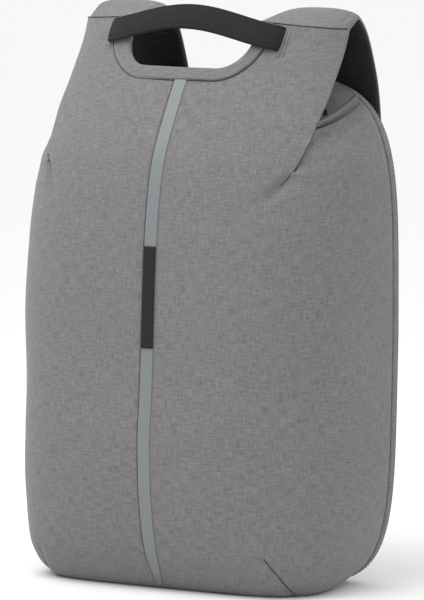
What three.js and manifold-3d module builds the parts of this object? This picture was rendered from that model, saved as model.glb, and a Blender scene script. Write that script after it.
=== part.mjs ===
// A laptop backpack whose main compartment opens only at the wearer's back, standing upright on its base.
// The front panel runs up past the bag as two wings, and each wing turns over into a shoulder strap.
// Millimetres, +Z up. The front faces -Y and the wearer's back is at +Y.
// The origin is on the floor, at the centre of the whole bag's footprint.

import * as THREE from "three";
import { mergeVertices } from "three/addons/utils/BufferGeometryUtils.js";
import Module from "manifold-3d";

const wasm = await Module();
wasm.setup();

// Overall sizes
const BAG_HEIGHT = 394; // floor to the top edge of the back panel
const BAG_WIDTH = 293; // across the back edge, at mid-height
const FRONT_DEPTH = 136.5; // concealed zip to the most forward point of the front

// Cloth
const CLOTH = 2; // coated fabric with its backing
const LINING = 2.4; // black lining behind each wing
const GAP = 0.3; // clearance between pieces that touch
const SEAM_GAP = 0.4; // open line of a seam

// Back outline and base
const OUTLINE_TOP_FULLNESS = 4.7; // superellipse exponents of the back panel's corners
const OUTLINE_BASE_FULLNESS = 5.4;
const OUTLINE_SUNK = 4; // how far the outline would dip under the flat base
const BASE_TAPER = 0.03; // share of the width lost from mid-height to the base
const BASE_THICKNESS = 2.5;
const BASE_INSET = 1.8; // base panel inside the shell's lowest edge
const SHELL_START = 0.5; // height of the shell's lowest edge
const SIDE_RUN = 100; // stretch of the side that draws in towards the back outline

// Concealed zip, border band and back panel
const ZIP_GAP = 1.6; // open line over the concealed zip
const ZIP_WIDTH = 9;
const ZIP_THICKNESS = 1;
const ZIP_SINK = 2.4; // the tape's front edge lies deeper, under the sloping roof
const BORDER_WIDTH = 11; // cloth band between the zip and the back panel
const BORDER_TURN = 2.5; // how far the band's rear edge turns in
const PANEL_FRONT = 5; // front face of the back panel, behind the zip
const PANEL_DOME = 3; // how far the foam stands behind the border band
const CHANNEL_WIDTH = 30; // air channel down the middle of the back
const CHANNEL_DEPTH = 4;
const CHANNEL_END = 42; // foam left closed at each end of the channel

// Wings, roof and the mouth for the hand, all measured from the bag's top edge
const WING_ABOVE = 39; // seam between wing and strap, at the outer edge
const WING_SLANT = 5; // the same seam is higher at the inner edge
const DART_BELOW = 69; // where the wing leaves the bag's side
const FOLD_FRONT_BELOW = 32; // the roof's fold, at the wing
const FOLD_BACK_BELOW = 15; // the roof's fold, at the back outline
const ROOF_FRONT_BELOW = 9; // the roof at the centre of the front panel
const ROOF_SAG = 6;
const TUCK = 5; // the gusset and the roof pass this far behind the wing's face
const TUCK_SIDE = 2;
const MOUTH_ABOVE = 10;
const MOUTH_HALF_WIDTH = 54;
const MOUTH_RADIUS = 20;
const RIM_WIDTH = 8;
const RIM_THICKNESS = 0.9;
const LINING_ABOVE = 1; // lower edge of the wing's lining

// Shoulder straps
const STRAP_ABOVE = 53.5; // crest of the straps over the bag's top edge
const STRAP_WIDTH = 68;
const STRAP_CENTRE = 87;
const STRAP_COVER = 2.5; // grey outer cloth
const STRAP_PAD = 5.2; // black foam and mesh under it
const STRAP_EDGE = 0.5; // share of the pad's thickness left at the strap's edges
const STRAP_HANG = 3.6; // how far the hanging strap stays off the back panel
const STRAP_END = 128; // floor to the lower end of the padded strap
const STRAP_SPLAY = 8; // how much further out the lower end lies
const STRAP_NARROWING = 10; // taken from each edge towards the lower end

// Handle
const HANDLE_REACH = 78; // half the distance between its sewn ends
const HANDLE_BAND = 21;
const HANDLE_THICKNESS = 5;
const HANDLE_ABOVE = 31; // middle of the band's ends over the bag's top edge
const HANDLE_RISE = 13.5;
const HANDLE_BOW = 5; // how far the middle stands in front of the ends

// Strip and label on the front seam
const STRIP_WIDTH = 11;
const STRIP_THICKNESS = 0.6;
const STRIP_START = 3; // floor to the strip's lower end
const LABEL_START = 190;
const LABEL_LENGTH = 78;
const LABEL_THICKNESS = 0.8;

// Webbing and adjusters below the straps
const WEBBING_WIDTH = 25;
const WEBBING_THICKNESS = 1.6;
const BAR_RADIUS = 1.6;
const ADJUSTER_WIDTH = 34;
const ADJUSTER_LENGTH = 28;
const ADJUSTER_BELOW = 18; // strap end to the adjuster's upper bar
const BAR_SPACING = 20;
const ANCHOR_HEIGHT = 34; // floor to the webbing's sewn end
const ANCHOR_OUT = 14; // the sewn end lies further out than the strap's end
const ANCHOR_LENGTH = 32;
const ANCHOR_THICKNESS = 1.8;
const TAIL_LENGTH = 62;

const HALF_WIDTH = BAG_WIDTH / 2;
const DART_HEIGHT = BAG_HEIGHT - DART_BELOW;
const WING_TOP = BAG_HEIGHT + WING_ABOVE;
const MOUTH_FLOOR = BAG_HEIGHT + MOUTH_ABOVE;
const STRAP_THICKNESS = STRAP_COVER + GAP + STRAP_PAD;
const PANEL_BACK = BORDER_WIDTH + PANEL_DOME;
// Outer face of the hanging strap, behind the zip.
const STRAP_BACK = PANEL_BACK + STRAP_HANG + STRAP_THICKNESS;
// The zip seam lies at this Y, so that the footprint is centred on the origin.
const ZIP_Y = (FRONT_DEPTH + GAP + STRIP_THICKNESS - STRAP_BACK) / 2;

// Front, section by section: height as a share of WING_TOP, depth at the centre as a share of FRONT_DEPTH,
// side as the widest half-width's share of HALF_WIDTH, fullness as the section's superellipse exponent.
const FRONT_SECTIONS = [
  { height: 0.0012, depth: 0.748, side: 0.85, fullness: 5.2 },
  { height: 0.01, depth: 0.79, side: 0.885, fullness: 5.0 },
  { height: 0.03, depth: 0.846, side: 0.925, fullness: 4.7 },
  { height: 0.074, depth: 0.925, side: 0.962, fullness: 4.2 },
  { height: 0.13, depth: 0.969, side: 0.98, fullness: 3.8 },
  { height: 0.199, depth: 0.995, side: 0.988, fullness: 3.6 },
  { height: 0.27, depth: 1.0, side: 0.992, fullness: 3.5 },
  { height: 0.353, depth: 0.98, side: 0.998, fullness: 3.5 },
  { height: 0.49, depth: 0.953, side: 1.005, fullness: 3.5 },
  { height: 0.619, depth: 0.929, side: 1.005, fullness: 3.4 },
  { height: 0.716, depth: 0.89, side: 0.995, fullness: 3.1 },
  { height: 0.75, depth: 0.866, side: 0.99, fullness: 2.9 },
  { height: 0.781, depth: 0.835, side: 1.0, fullness: 2.7 },
  { height: 0.834, depth: 0.752, side: 1.0, fullness: 2.4 },
  { height: 0.894, depth: 0.643, side: 0.95, fullness: 2.25 },
  { height: 0.977, depth: 0.473, side: 0.89, fullness: 2.2 },
  { height: 1.03, depth: 0.36, side: 0.88, fullness: 2.2 },
];

// Outer edge of the wing: rise as a share of the way from the dart to WING_TOP, edge as a share of HALF_WIDTH.
const WING_EDGE = [
  { rise: 0, edge: 0.764 },
  { rise: 0.12, edge: 0.788 },
  { rise: 0.3, edge: 0.808 },
  { rise: 0.55, edge: 0.818 },
  { rise: 1.1, edge: 0.823 },
];

// The strap's outer face seen from the side, from the crest down the back: behind as a share of STRAP_BACK,
// above the bag's top edge as a share of STRAP_ABOVE.
const STRAP_ROUTE = [
  { behind: -0.34, above: 1.0 },
  { behind: -0.11, above: 0.925 },
  { behind: 0.14, above: 0.77 },
  { behind: 0.36, above: 0.56 },
  { behind: 0.55, above: 0.32 },
  { behind: 0.7, above: 0.1 },
  { behind: 0.83, above: -0.13 },
  { behind: 0.945, above: -0.48 },
  { behind: 1.0, above: -0.85 },
];
const STRAP_FALL_STEPS = 5;

const STRAP_COLUMNS = 6;
const STRAP_SUBDIVISION = 2;
const FRONT_COLUMNS = 7;
const SIDE_COLUMNS = 8;
const FOLD_ROWS = 4;
const ROOF_COLUMNS = 5;
const UPPER_ROWS = 9;
const OUTLINE_STEPS = 26;

const range = (n) => [...Array(n + 1).keys()].map((i) => i / n);
const mix = (a, b, t) => a + (b - a) * t;
const point = (x, y, z) => new THREE.Vector3(x, y, z);

// Value of a table's column at a place on its key column, smooth and without overshoot.
function follow(table, key, column, at) {
  const last = table.length - 1;
  if (at <= table[0][key]) return table[0][column];
  if (at >= table[last][key]) return table[last][column];
  const i = table.findIndex((row, n) => n < last && at < table[n + 1][key]);
  const slope = (n) => (table[n + 1][column] - table[n][column]) / (table[n + 1][key] - table[n][key]);
  const tangent = (n) => {
    if (n === 0) return slope(0);
    if (n === last) return slope(last - 1);
    const before = slope(n - 1);
    const after = slope(n);
    return before * after <= 0 ? 0 : (2 * before * after) / (before + after);
  };
  const span = table[i + 1][key] - table[i][key];
  const t = (at - table[i][key]) / span;
  const ease = t * t * (3 - 2 * t);
  const rising = t * (1 - t) * (1 - t) * span * tangent(i);
  const falling = t * t * (t - 1) * span * tangent(i + 1);
  return mix(table[i][column], table[i + 1][column], ease) + rising + falling;
}

// Half-width of the back outline at a height.
function outlineHalfWidth(z) {
  const half = (BAG_HEIGHT + OUTLINE_SUNK) / 2;
  const middle = BAG_HEIGHT - half;
  const power = z > middle ? OUTLINE_TOP_FULLNESS : OUTLINE_BASE_FULLNESS;
  const share = Math.min(1, Math.abs(z - middle) / half);
  const taper = 1 - BASE_TAPER * Math.max(0, (middle - z) / half);
  return HALF_WIDTH * taper * (1 - share ** power) ** (1 / power);
}

const sideHalfWidth = (z) => HALF_WIDTH * follow(FRONT_SECTIONS, "height", "side", z / WING_TOP);
const frontDepth = (z) => FRONT_DEPTH * follow(FRONT_SECTIONS, "height", "depth", z / WING_TOP);
const fullness = (z) => follow(FRONT_SECTIONS, "height", "fullness", z / WING_TOP);

// How far the front panel's face lies in front of the zip seam.
function faceDepth(x, z) {
  const n = fullness(z);
  const share = Math.min(1, Math.abs(x) / sideHalfWidth(z));
  return frontDepth(z) * (1 - share ** n) ** (1 / n);
}

const onFace = (x, z, back = 0) => point(x, ZIP_Y - faceDepth(x, z) + back, z);

function faceNormal(x, z) {
  const step = 1;
  const across = onFace(x + step, z).sub(onFace(x - step, z));
  const up = onFace(x, z + step).sub(onFace(x, z - step));
  return across.cross(up).normalize();
}

function wingEdge(z) {
  const rise = Math.max(0, (z - DART_HEIGHT) / (WING_TOP - DART_HEIGHT));
  return HALF_WIDTH * follow(WING_EDGE, "rise", "edge", rise);
}

// Height of the seam between a wing and its strap.
function seamHeight(x) {
  const outer = wingEdge(WING_TOP);
  return WING_TOP + (WING_SLANT * (outer - Math.abs(x))) / (outer - MOUTH_HALF_WIDTH);
}

// A grid of points as triangles. Its outer side is where across turned onto along points.
function patch(grid) {
  const across = grid[0].length;
  const positions = grid.flatMap((row) => row.flatMap((p) => [p.x, p.y, p.z]));
  const indices = [];
  for (let r = 0; r + 1 < grid.length; r++) {
    for (let c = 0; c + 1 < across; c++) {
      const a = r * across + c;
      indices.push(a, a + 1, a + across + 1, a, a + across + 1, a + across);
    }
  }
  return { positions, indices };
}

// Fills four boundary curves with a grid. low and high run across, left and right run up.
// A rounded fill leaves the low curve upright and turns inwards towards the high one.
function fillBetween(low, high, left, right, rounded = false) {
  const lastRow = left.length - 1;
  const lastColumn = low.length - 1;
  return left.map((_, r) => {
    const v = r / lastRow;
    const turn = (v * Math.PI) / 2;
    const weights = rounded ? { x: 1 - Math.cos(turn), y: v, z: Math.sin(turn) } : { x: v, y: v, z: v };
    return low.map((_, c) => {
      const u = c / lastColumn;
      const value = (axis) => {
        const w = weights[axis];
        const across = mix(left[r][axis], right[r][axis], u);
        const up = mix(low[c][axis], high[c][axis], w);
        const base = mix(low[0][axis], low[lastColumn][axis], u);
        const top = mix(high[0][axis], high[lastColumn][axis], u);
        return across + up - mix(base, top, w);
      };
      return point(value("x"), value("y"), value("z"));
    });
  });
}

function geometryFrom(positions, indices) {
  const made = new THREE.BufferGeometry();
  made.setAttribute("position", new THREE.Float32BufferAttribute(positions, 3));
  made.setIndex(indices);
  return made;
}

// Several patches as one set of positions and indices, not yet merged.
function together(patches) {
  const positions = [];
  const indices = [];
  for (const piece of patches) {
    const start = positions.length / 3;
    positions.push(...piece.positions);
    indices.push(...piece.indices.map((i) => i + start));
  }
  return { positions, indices };
}

// The body between two layers that share their triangles, closed by walls along the open edges.
function between(outer, inner, indices) {
  const count = outer.length;
  const faces = [...indices];
  const edges = new Map();
  for (let i = 0; i < indices.length; i += 3) {
    faces.push(indices[i] + count, indices[i + 2] + count, indices[i + 1] + count);
    for (let k = 0; k < 3; k++) {
      const a = indices[i + k];
      const b = indices[i + ((k + 1) % 3)];
      edges.set(`${a}_${b}`, [a, b]);
    }
  }
  for (const [a, b] of edges.values()) {
    if (!edges.has(`${b}_${a}`)) faces.push(a, a + count, b, b, a + count, b + count);
  }
  return geometryFrom([...outer, ...inner].flatMap((p) => p.toArray()), faces);
}

// Joins patches where their edges meet and gives the cloth its thickness, from inset inwards.
function cloth(patches, thickness, inset = 0) {
  const loose = together(patches);
  const skin = mergeVertices(geometryFrom(loose.positions, loose.indices), 1e-3);
  const raw = skin.index.array;
  const kept = [];
  for (let i = 0; i < raw.length; i += 3) {
    const [a, b, c] = [raw[i], raw[i + 1], raw[i + 2]];
    if (a !== b && b !== c && a !== c) kept.push(a, b, c);
  }
  skin.setIndex(kept);
  skin.computeVertexNormals();
  const { position, normal } = skin.attributes;
  const layer = (depth) =>
    [...Array(position.count).keys()].map((i) => {
      const n = point().fromBufferAttribute(normal, i);
      return point().fromBufferAttribute(position, i).addScaledVector(n, -depth);
    });
  return between(layer(inset), layer(inset + thickness), kept);
}

// A grid given thickness between two depths, which may vary with u across.
function slab(grid, near, far) {
  const lastRow = grid.length - 1;
  const lastColumn = grid[0].length - 1;
  const normal = (r, c) => {
    const across = grid[r][Math.min(lastColumn, c + 1)].clone().sub(grid[r][Math.max(0, c - 1)]);
    const along = grid[Math.min(lastRow, r + 1)][c].clone().sub(grid[Math.max(0, r - 1)][c]);
    return across.cross(along).normalize();
  };
  const layer = (depth) =>
    grid.flatMap((row, r) => row.map((p, c) => p.clone().addScaledVector(normal(r, c), -depth(c / lastColumn))));
  return between(layer(near), layer(far), patch(grid).indices);
}

function toSolid(geometry) {
  const bare = geometry.clone();
  bare.deleteAttribute("normal");
  bare.deleteAttribute("uv");
  const merged = mergeVertices(bare, 1e-3);
  const vertProperties = new Float32Array(merged.attributes.position.array);
  const triVerts = new Uint32Array(merged.index.array);
  return new wasm.Manifold(new wasm.Mesh({ numProp: 3, vertProperties, triVerts }));
}

function toGeometry(solid) {
  const mesh = solid.getMesh();
  const positions = [];
  for (let i = 0; i < mesh.numVert; i++) {
    positions.push(...mesh.vertProperties.subarray(i * mesh.numProp, i * mesh.numProp + 3));
  }
  return geometryFrom(positions, [...mesh.triVerts]);
}

// A shape drawn in X and Z, as a block that runs along Y.
function blockAlongY(shape, nearY, farY) {
  const block = new THREE.ExtrudeGeometry(shape, { depth: farY - nearY, bevelEnabled: false, curveSegments: 8 });
  block.rotateX(Math.PI / 2);
  block.translate(0, farY, 0);
  return block;
}

// The shell: half the front with its wing, the side, and half the roof.

// The bag's side, from the wing's edge line back to the zip, at one height below the dart.
function sideRow(z) {
  const n = fullness(z);
  const w = sideHalfWidth(z);
  const start = Math.acos((wingEdge(z) / w) ** (n / 2));
  const pulled = Math.min(1, outlineHalfWidth(z) / w);
  return range(SIDE_COLUMNS).map((t) => {
    const angle = start * (1 - t);
    const depth = frontDepth(z) * Math.max(0, Math.sin(angle)) ** (2 / n);
    const draw = (1 - Math.min(1, depth / SIDE_RUN)) ** 2;
    const x = w * Math.cos(angle) ** (2 / n) * mix(1, pulled, draw);
    return point(x, ZIP_Y - Math.max(depth, ZIP_GAP / 2), z);
  });
}

// Part of the back outline between two heights, evenly divided.
function outlineRun(fromZ, toZ, steps) {
  const points = range(40).map((t) => {
    const z = mix(fromZ, toZ, Math.sin((t * Math.PI) / 2));
    return point(outlineHalfWidth(z), ZIP_Y - ZIP_GAP / 2, z);
  });
  return new THREE.CatmullRomCurve3(points).getSpacedPoints(steps);
}

// Line of the fold between roof and side, from the wing back to the outline.
function foldLine() {
  const frontZ = BAG_HEIGHT - FOLD_FRONT_BELOW;
  const backZ = BAG_HEIGHT - FOLD_BACK_BELOW;
  const front = onFace(wingEdge(frontZ) - TUCK_SIDE, frontZ, TUCK);
  const back = point(outlineHalfWidth(backZ), ZIP_Y - ZIP_GAP / 2, backZ);
  const middle = front.clone().lerp(back, 0.5).add(point(TUCK_SIDE, 0, -ROOF_SAG / 2));
  return new THREE.QuadraticBezierCurve3(front, middle, back).getSpacedPoints(SIDE_COLUMNS);
}

// Points across half the front at one height, closer together towards the edge.
function wingRow(z, edge) {
  return range(FRONT_COLUMNS).map((t) => onFace(mix(SEAM_GAP / 2, edge, Math.sin((t * Math.PI) / 2)), z));
}

function halfShell() {
  const lowerHeights = FRONT_SECTIONS.map((row) => Math.max(SHELL_START, row.height * WING_TOP))
    .filter((z) => z < DART_HEIGHT - CLOTH)
    .flatMap((z, i, all) => (i === 0 || i > 6 ? [z] : [mix(all[i - 1], z, 0.5), z]));
  lowerHeights.push(DART_HEIGHT);
  const shellTop = seamHeight(MOUTH_HALF_WIDTH) + CLOTH;
  const wingHeights = range(UPPER_ROWS).map((t) => mix(DART_HEIGHT, shellTop, t));
  const frontRow = (z) => wingRow(z, wingEdge(z));
  const side = lowerHeights.map(sideRow);
  const lowSide = side[side.length - 1];

  const fold = foldLine();
  const frontZ = BAG_HEIGHT - FOLD_FRONT_BELOW;
  const backZ = BAG_HEIGHT - FOLD_BACK_BELOW;
  const tuck = range(FOLD_ROWS).map((t) => {
    const z = mix(DART_HEIGHT, frontZ, t);
    const hidden = Math.min(1, t * FOLD_ROWS);
    return onFace(wingEdge(z) - TUCK_SIDE * hidden, z, TUCK * hidden);
  });
  const backRise = outlineRun(DART_HEIGHT, backZ, FOLD_ROWS);
  tuck[0] = lowSide[0].clone();
  tuck[FOLD_ROWS] = fold[0].clone();
  backRise[0] = lowSide[SIDE_COLUMNS].clone();
  backRise[FOLD_ROWS] = fold[SIDE_COLUMNS].clone();
  const shoulder = fillBetween(lowSide, fold, tuck, backRise, true);

  const roofBack = outlineRun(backZ, BAG_HEIGHT, ROOF_COLUMNS);
  roofBack[0] = fold[SIDE_COLUMNS].clone();
  roofBack[ROOF_COLUMNS] = point(SEAM_GAP / 2, ZIP_Y - ZIP_GAP / 2, BAG_HEIGHT);
  const roofFront = range(ROOF_COLUMNS).map((t) => {
    const x = mix(wingEdge(frontZ) - TUCK_SIDE, SEAM_GAP / 2, t);
    const z = mix(frontZ, BAG_HEIGHT - ROOF_FRONT_BELOW, 1 - (1 - t) ** 2);
    return onFace(x, z, TUCK);
  });
  roofFront[0] = fold[0].clone();
  const roofCentre = range(SIDE_COLUMNS).map((t) => {
    const p = roofFront[ROOF_COLUMNS].clone().lerp(roofBack[ROOF_COLUMNS], t);
    p.z -= ROOF_SAG * Math.sin(Math.PI * t);
    return p;
  });
  const roof = fillBetween(fold, roofCentre, roofFront, roofBack);
  const grids = [lowerHeights.map(frontRow), wingHeights.map(frontRow), side, shoulder, roof];
  return cloth(grids.map(patch), CLOTH);
}

// The mouth's outline, grown outwards by margin, with its open end at height top.
function mouthPath(margin, top) {
  const half = MOUTH_HALF_WIDTH + margin;
  const floor = MOUTH_FLOOR - margin;
  const radius = MOUTH_RADIUS + margin;
  const shape = new THREE.Shape();
  shape.moveTo(half, top);
  shape.lineTo(-half, top);
  shape.lineTo(-half, floor + radius);
  shape.absarc(-half + radius, floor + radius, radius, Math.PI, 1.5 * Math.PI);
  shape.lineTo(half - radius, floor);
  shape.absarc(half - radius, floor + radius, radius, 1.5 * Math.PI, 2 * Math.PI);
  shape.closePath();
  return shape;
}

const FAR_ABOVE = BAG_HEIGHT + 2 * STRAP_ABOVE;
const FRONT_Y = ZIP_Y - FRONT_DEPTH;
const BEHIND_WINGS = ZIP_Y - STRAP_THICKNESS - 2 * GAP;

// Everything above the seams between wings and straps.
function aboveSeams() {
  const outer = HALF_WIDTH + CLOTH;
  const shape = new THREE.Shape();
  shape.moveTo(outer, FAR_ABOVE);
  shape.lineTo(-outer, FAR_ABOVE);
  shape.lineTo(-outer, seamHeight(outer));
  shape.lineTo(-MOUTH_HALF_WIDTH, seamHeight(MOUTH_HALF_WIDTH));
  shape.lineTo(MOUTH_HALF_WIDTH, seamHeight(MOUTH_HALF_WIDTH));
  shape.lineTo(outer, seamHeight(outer));
  shape.closePath();
  return toSolid(blockAlongY(shape, FRONT_Y, ZIP_Y));
}

// Everything below those seams, with the seams' open line, as far back as the wings reach.
function belowSeams() {
  const outer = HALF_WIDTH + CLOTH;
  const shape = new THREE.Shape();
  shape.moveTo(-outer, DART_HEIGHT);
  shape.lineTo(outer, DART_HEIGHT);
  shape.lineTo(outer, seamHeight(outer) + SEAM_GAP);
  shape.lineTo(MOUTH_HALF_WIDTH, seamHeight(MOUTH_HALF_WIDTH) + SEAM_GAP);
  shape.lineTo(-MOUTH_HALF_WIDTH, seamHeight(MOUTH_HALF_WIDTH) + SEAM_GAP);
  shape.lineTo(-outer, seamHeight(outer) + SEAM_GAP);
  shape.closePath();
  return toSolid(blockAlongY(shape, FRONT_Y, BEHIND_WINGS));
}

const mouthBlock = (margin) => toSolid(blockAlongY(mouthPath(margin, FAR_ABOVE), FRONT_Y, ZIP_Y));

function lining() {
  const low = BAG_HEIGHT + LINING_ABOVE;
  const top = seamHeight(MOUTH_HALF_WIDTH) + CLOTH;
  const heights = range(UPPER_ROWS).map((t) => mix(low, top, t));
  const grid = heights.map((z) => wingRow(z, wingEdge(z) - CLOTH));
  const whole = toSolid(cloth([patch(grid)], LINING, CLOTH + 2 * GAP));
  return whole.subtract(aboveSeams()).subtract(mouthBlock(0));
}

// A band on the front's face, between two depths in front of it.
function faceBand(xs, heights, low, high) {
  const grid = heights.map((z) => xs.map((x) => onFace(x, z)));
  return cloth([patch(grid)], high - low, -high);
}

function rim() {
  const reach = MOUTH_HALF_WIDTH + RIM_WIDTH + CLOTH;
  const low = MOUTH_FLOOR - RIM_WIDTH - CLOTH;
  const top = seamHeight(MOUTH_HALF_WIDTH) + CLOTH;
  const xs = range(16).map((t) => mix(-reach, reach, t));
  const heights = range(5).map((t) => mix(low, top, t));
  const sheet = toSolid(faceBand(xs, heights, GAP, GAP + RIM_THICKNESS));
  return sheet.intersect(mouthBlock(RIM_WIDTH)).subtract(mouthBlock(0)).subtract(aboveSeams());
}

function strip() {
  const top = MOUTH_FLOOR - RIM_WIDTH - 2 * GAP;
  const low = STRIP_START;
  const heights = range(34).map((t) => mix(low, top, 1 - Math.cos((t * Math.PI) / 2)));
  const start = SEAM_GAP;
  const xs = range(2).map((t) => mix(start, start + STRIP_WIDTH, t));
  return faceBand(xs, heights, GAP, GAP + STRIP_THICKNESS);
}

function label() {
  const seat = 2 * GAP + STRIP_THICKNESS;
  const heights = range(8).map((t) => LABEL_START + t * LABEL_LENGTH);
  const start = SEAM_GAP;
  const xs = range(2).map((t) => mix(start, start + STRIP_WIDTH, t));
  return faceBand(xs, heights, seat, seat + LABEL_THICKNESS);
}

// Back: border band, concealed zip and padded panel, all on the same outline.

// The whole back outline drawn inset mm inside itself, clockwise from the top, closed.
function outlineRing(inset, y) {
  const middle = BAG_HEIGHT / 2;
  const upper = outlineRun(middle, BAG_HEIGHT, OUTLINE_STEPS / 2).reverse();
  const lower = outlineRun(middle, SHELL_START, OUTLINE_STEPS / 2).slice(1);
  const corner = lower[lower.length - 1].x;
  const base = range(3).slice(1).map((t) => point(mix(corner, 0, t), 0, SHELL_START));
  const right = [...upper, ...lower, ...base];
  const left = right.slice(1, -1).reverse().map((p) => point(-p.x, 0, p.z));
  const loop = [...right, ...left];
  const ring = loop.map((p, i) => {
    const before = loop[(i + loop.length - 1) % loop.length];
    const after = loop[(i + 1) % loop.length];
    const run = point(after.x - before.x, 0, after.z - before.z).normalize();
    return point(p.x + run.z * inset, y, p.z - run.x * inset);
  });
  return [...ring, ring[0].clone()];
}

function border() {
  const start = ZIP_Y + ZIP_GAP / 2;
  const end = ZIP_Y + BORDER_WIDTH;
  const stations = range(3).map((t) => outlineRing(BORDER_TURN * t * t, mix(start, end, t)));
  return cloth([patch(stations)], CLOTH);
}

function zip() {
  const rear = CLOTH + 2 * GAP;
  const front = rear + ZIP_SINK;
  const tape = [outlineRing(front, ZIP_Y - ZIP_WIDTH / 2), outlineRing(rear, ZIP_Y + ZIP_WIDTH / 2)];
  return cloth([patch(tape)], ZIP_THICKNESS);
}

function backPanel() {
  const inset = BORDER_TURN + CLOTH + 2 * GAP;
  const front = ZIP_Y + PANEL_FRONT;
  const edge = ZIP_Y + BORDER_WIDTH;
  const rings = [
    outlineRing(inset, front),
    outlineRing(inset, edge - GAP),
    outlineRing(inset + PANEL_DOME, edge + PANEL_DOME * 0.7),
    outlineRing(inset + 3 * PANEL_DOME, edge + PANEL_DOME),
  ];
  const centre = (ring) => ring.map(() => point(0, ring[0].y, BAG_HEIGHT / 2));
  const last = rings[rings.length - 1];
  const skin = patch([centre(rings[0]), ...rings, centre(last)]);
  const foam = toSolid(geometryFrom(skin.positions, skin.indices));
  const low = CHANNEL_END;
  const high = BAG_HEIGHT - CHANNEL_END;
  const half = CHANNEL_WIDTH / 2;
  const shape = new THREE.Shape();
  shape.moveTo(-half, low + half);
  shape.absarc(0, low + half, half, Math.PI, 2 * Math.PI);
  shape.lineTo(half, high - half);
  shape.absarc(0, high - half, half, 0, Math.PI);
  shape.closePath();
  const surface = edge + PANEL_DOME;
  return foam.subtract(toSolid(blockAlongY(shape, surface - CHANNEL_DEPTH, surface + CLOTH)));
}

function basePanel() {
  const steps = range(FRONT_COLUMNS);
  const front = steps.map((t) => onFace(mix(0, wingEdge(SHELL_START), t), SHELL_START));
  const side = sideRow(SHELL_START).slice(1);
  const right = [...front, ...side];
  const left = right.slice(1).reverse().map((p) => point(-p.x, p.y, p.z));
  const loop = [...right, ...left];
  const shape = new THREE.Shape();
  loop.forEach((p, i) => {
    const before = loop[(i + loop.length - 1) % loop.length];
    const after = loop[(i + 1) % loop.length];
    const run = point(after.x - before.x, after.y - before.y, 0).normalize();
    const place = [p.x - run.y * BASE_INSET, p.y + run.x * BASE_INSET];
    if (i === 0) shape.moveTo(...place);
    else shape.lineTo(...place);
  });
  shape.closePath();
  return new THREE.ExtrudeGeometry(shape, { depth: BASE_THICKNESS, bevelEnabled: false });
}

// Straps, handle and webbing.

function strapGrid() {
  const straightTop = BAG_HEIGHT + STRAP_ROUTE[STRAP_ROUTE.length - 1].above * STRAP_ABOVE;
  const columns = range(STRAP_COLUMNS).map((u) => {
    const side = 2 * u - 1;
    const place = (y, z) => {
      const fall = THREE.MathUtils.clamp((straightTop - z) / (straightTop - STRAP_END), 0, 1);
      const half = STRAP_WIDTH / 2 - STRAP_NARROWING * fall ** 2;
      return point(STRAP_CENTRE + STRAP_SPLAY * fall ** 2 + side * half, ZIP_Y + y, z);
    };
    const x = STRAP_CENTRE + (side * STRAP_WIDTH) / 2;
    const start = seamHeight(x) - SEAM_GAP;
    const above = STRAP_ROUTE.map((row) => place(row.behind * STRAP_BACK, BAG_HEIGHT + row.above * STRAP_ABOVE));
    const below = range(STRAP_FALL_STEPS).slice(1).map((t) => place(STRAP_BACK, mix(straightTop, STRAP_END, t)));
    const stations = [onFace(x, start), ...above, ...below];
    return new THREE.CatmullRomCurve3(stations).getPoints((stations.length - 1) * STRAP_SUBDIVISION);
  });
  return columns[0].map((_, r) => columns.map((column) => column[r]));
}

const padDepth = (u) => STRAP_COVER + GAP + STRAP_PAD * mix(STRAP_EDGE, 1, Math.sqrt(1 - (2 * u - 1) ** 2));

function strapCover() {
  const whole = slab(strapGrid(), () => 0, () => STRAP_COVER);
  return toSolid(whole).subtract(belowSeams());
}

function strapPad() {
  const whole = slab(strapGrid(), () => STRAP_COVER + GAP, padDepth);
  return toSolid(whole).subtract(belowSeams());
}

// The band lies on the wings at its ends and arches over the mouth between them.
function handle() {
  const free = MOUTH_HALF_WIDTH - RIM_WIDTH;
  const overRim = 2 * GAP + RIM_THICKNESS;
  const seat = (x) => mix(overRim, GAP, THREE.MathUtils.smoothstep(Math.abs(x), MOUTH_HALF_WIDTH + RIM_WIDTH, HANDLE_REACH));
  const height = (x) => BAG_HEIGHT + HANDLE_ABOVE + HANDLE_RISE * Math.cos((x / HANDLE_REACH) * (Math.PI / 2)) ** 1.5;
  const grid = range(18).map((t) => {
    const x = mix(-HANDLE_REACH, HANDLE_REACH, t);
    const held = Math.max(Math.abs(x), free);
    const lean = THREE.MathUtils.clamp(x / free, -1, 1);
    const rise = height(x) - height(held);
    const bow = HANDLE_BOW * (1 - (x / HANDLE_REACH) ** 2);
    return range(3).map((u) => {
      const z = height(held) + HANDLE_BAND * 0.43 * (1 - 2 * u);
      const out = faceNormal(held, z).multiplyScalar(seat(x) + HANDLE_THICKNESS);
      const p = onFace(held, z).add(out);
      return point(x + out.x * lean, p.y - bow, p.z + rise);
    });
  });
  const edge = (u) => (u === 0 || u === 1 ? HANDLE_THICKNESS * 0.18 : 0);
  return slab(grid, edge, (u) => HANDLE_THICKNESS - edge(u));
}

// Flat webbing along a path seen from the side, given as [y, z] pairs.
function webbingAlong(path, centreAt) {
  const curve = new THREE.CatmullRomCurve3(path.map(([y, z]) => point(0, y, z)), false, "centripetal");
  const grid = curve.getPoints((path.length - 1) * 2).map((p) => {
    const x = centreAt(p.z);
    return [point(x - WEBBING_WIDTH / 2, p.y, p.z), point(x + WEBBING_WIDTH / 2, p.y, p.z)];
  });
  return slab(grid, () => -WEBBING_THICKNESS / 2, () => WEBBING_THICKNESS / 2);
}

const STRAP_END_X = STRAP_CENTRE + STRAP_SPLAY;
const ADJUSTER_Y = ZIP_Y + STRAP_BACK - STRAP_THICKNESS / 2;
const UPPER_BAR = STRAP_END - ADJUSTER_BELOW;
const LOWER_BAR = UPPER_BAR - BAR_SPACING;
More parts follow.
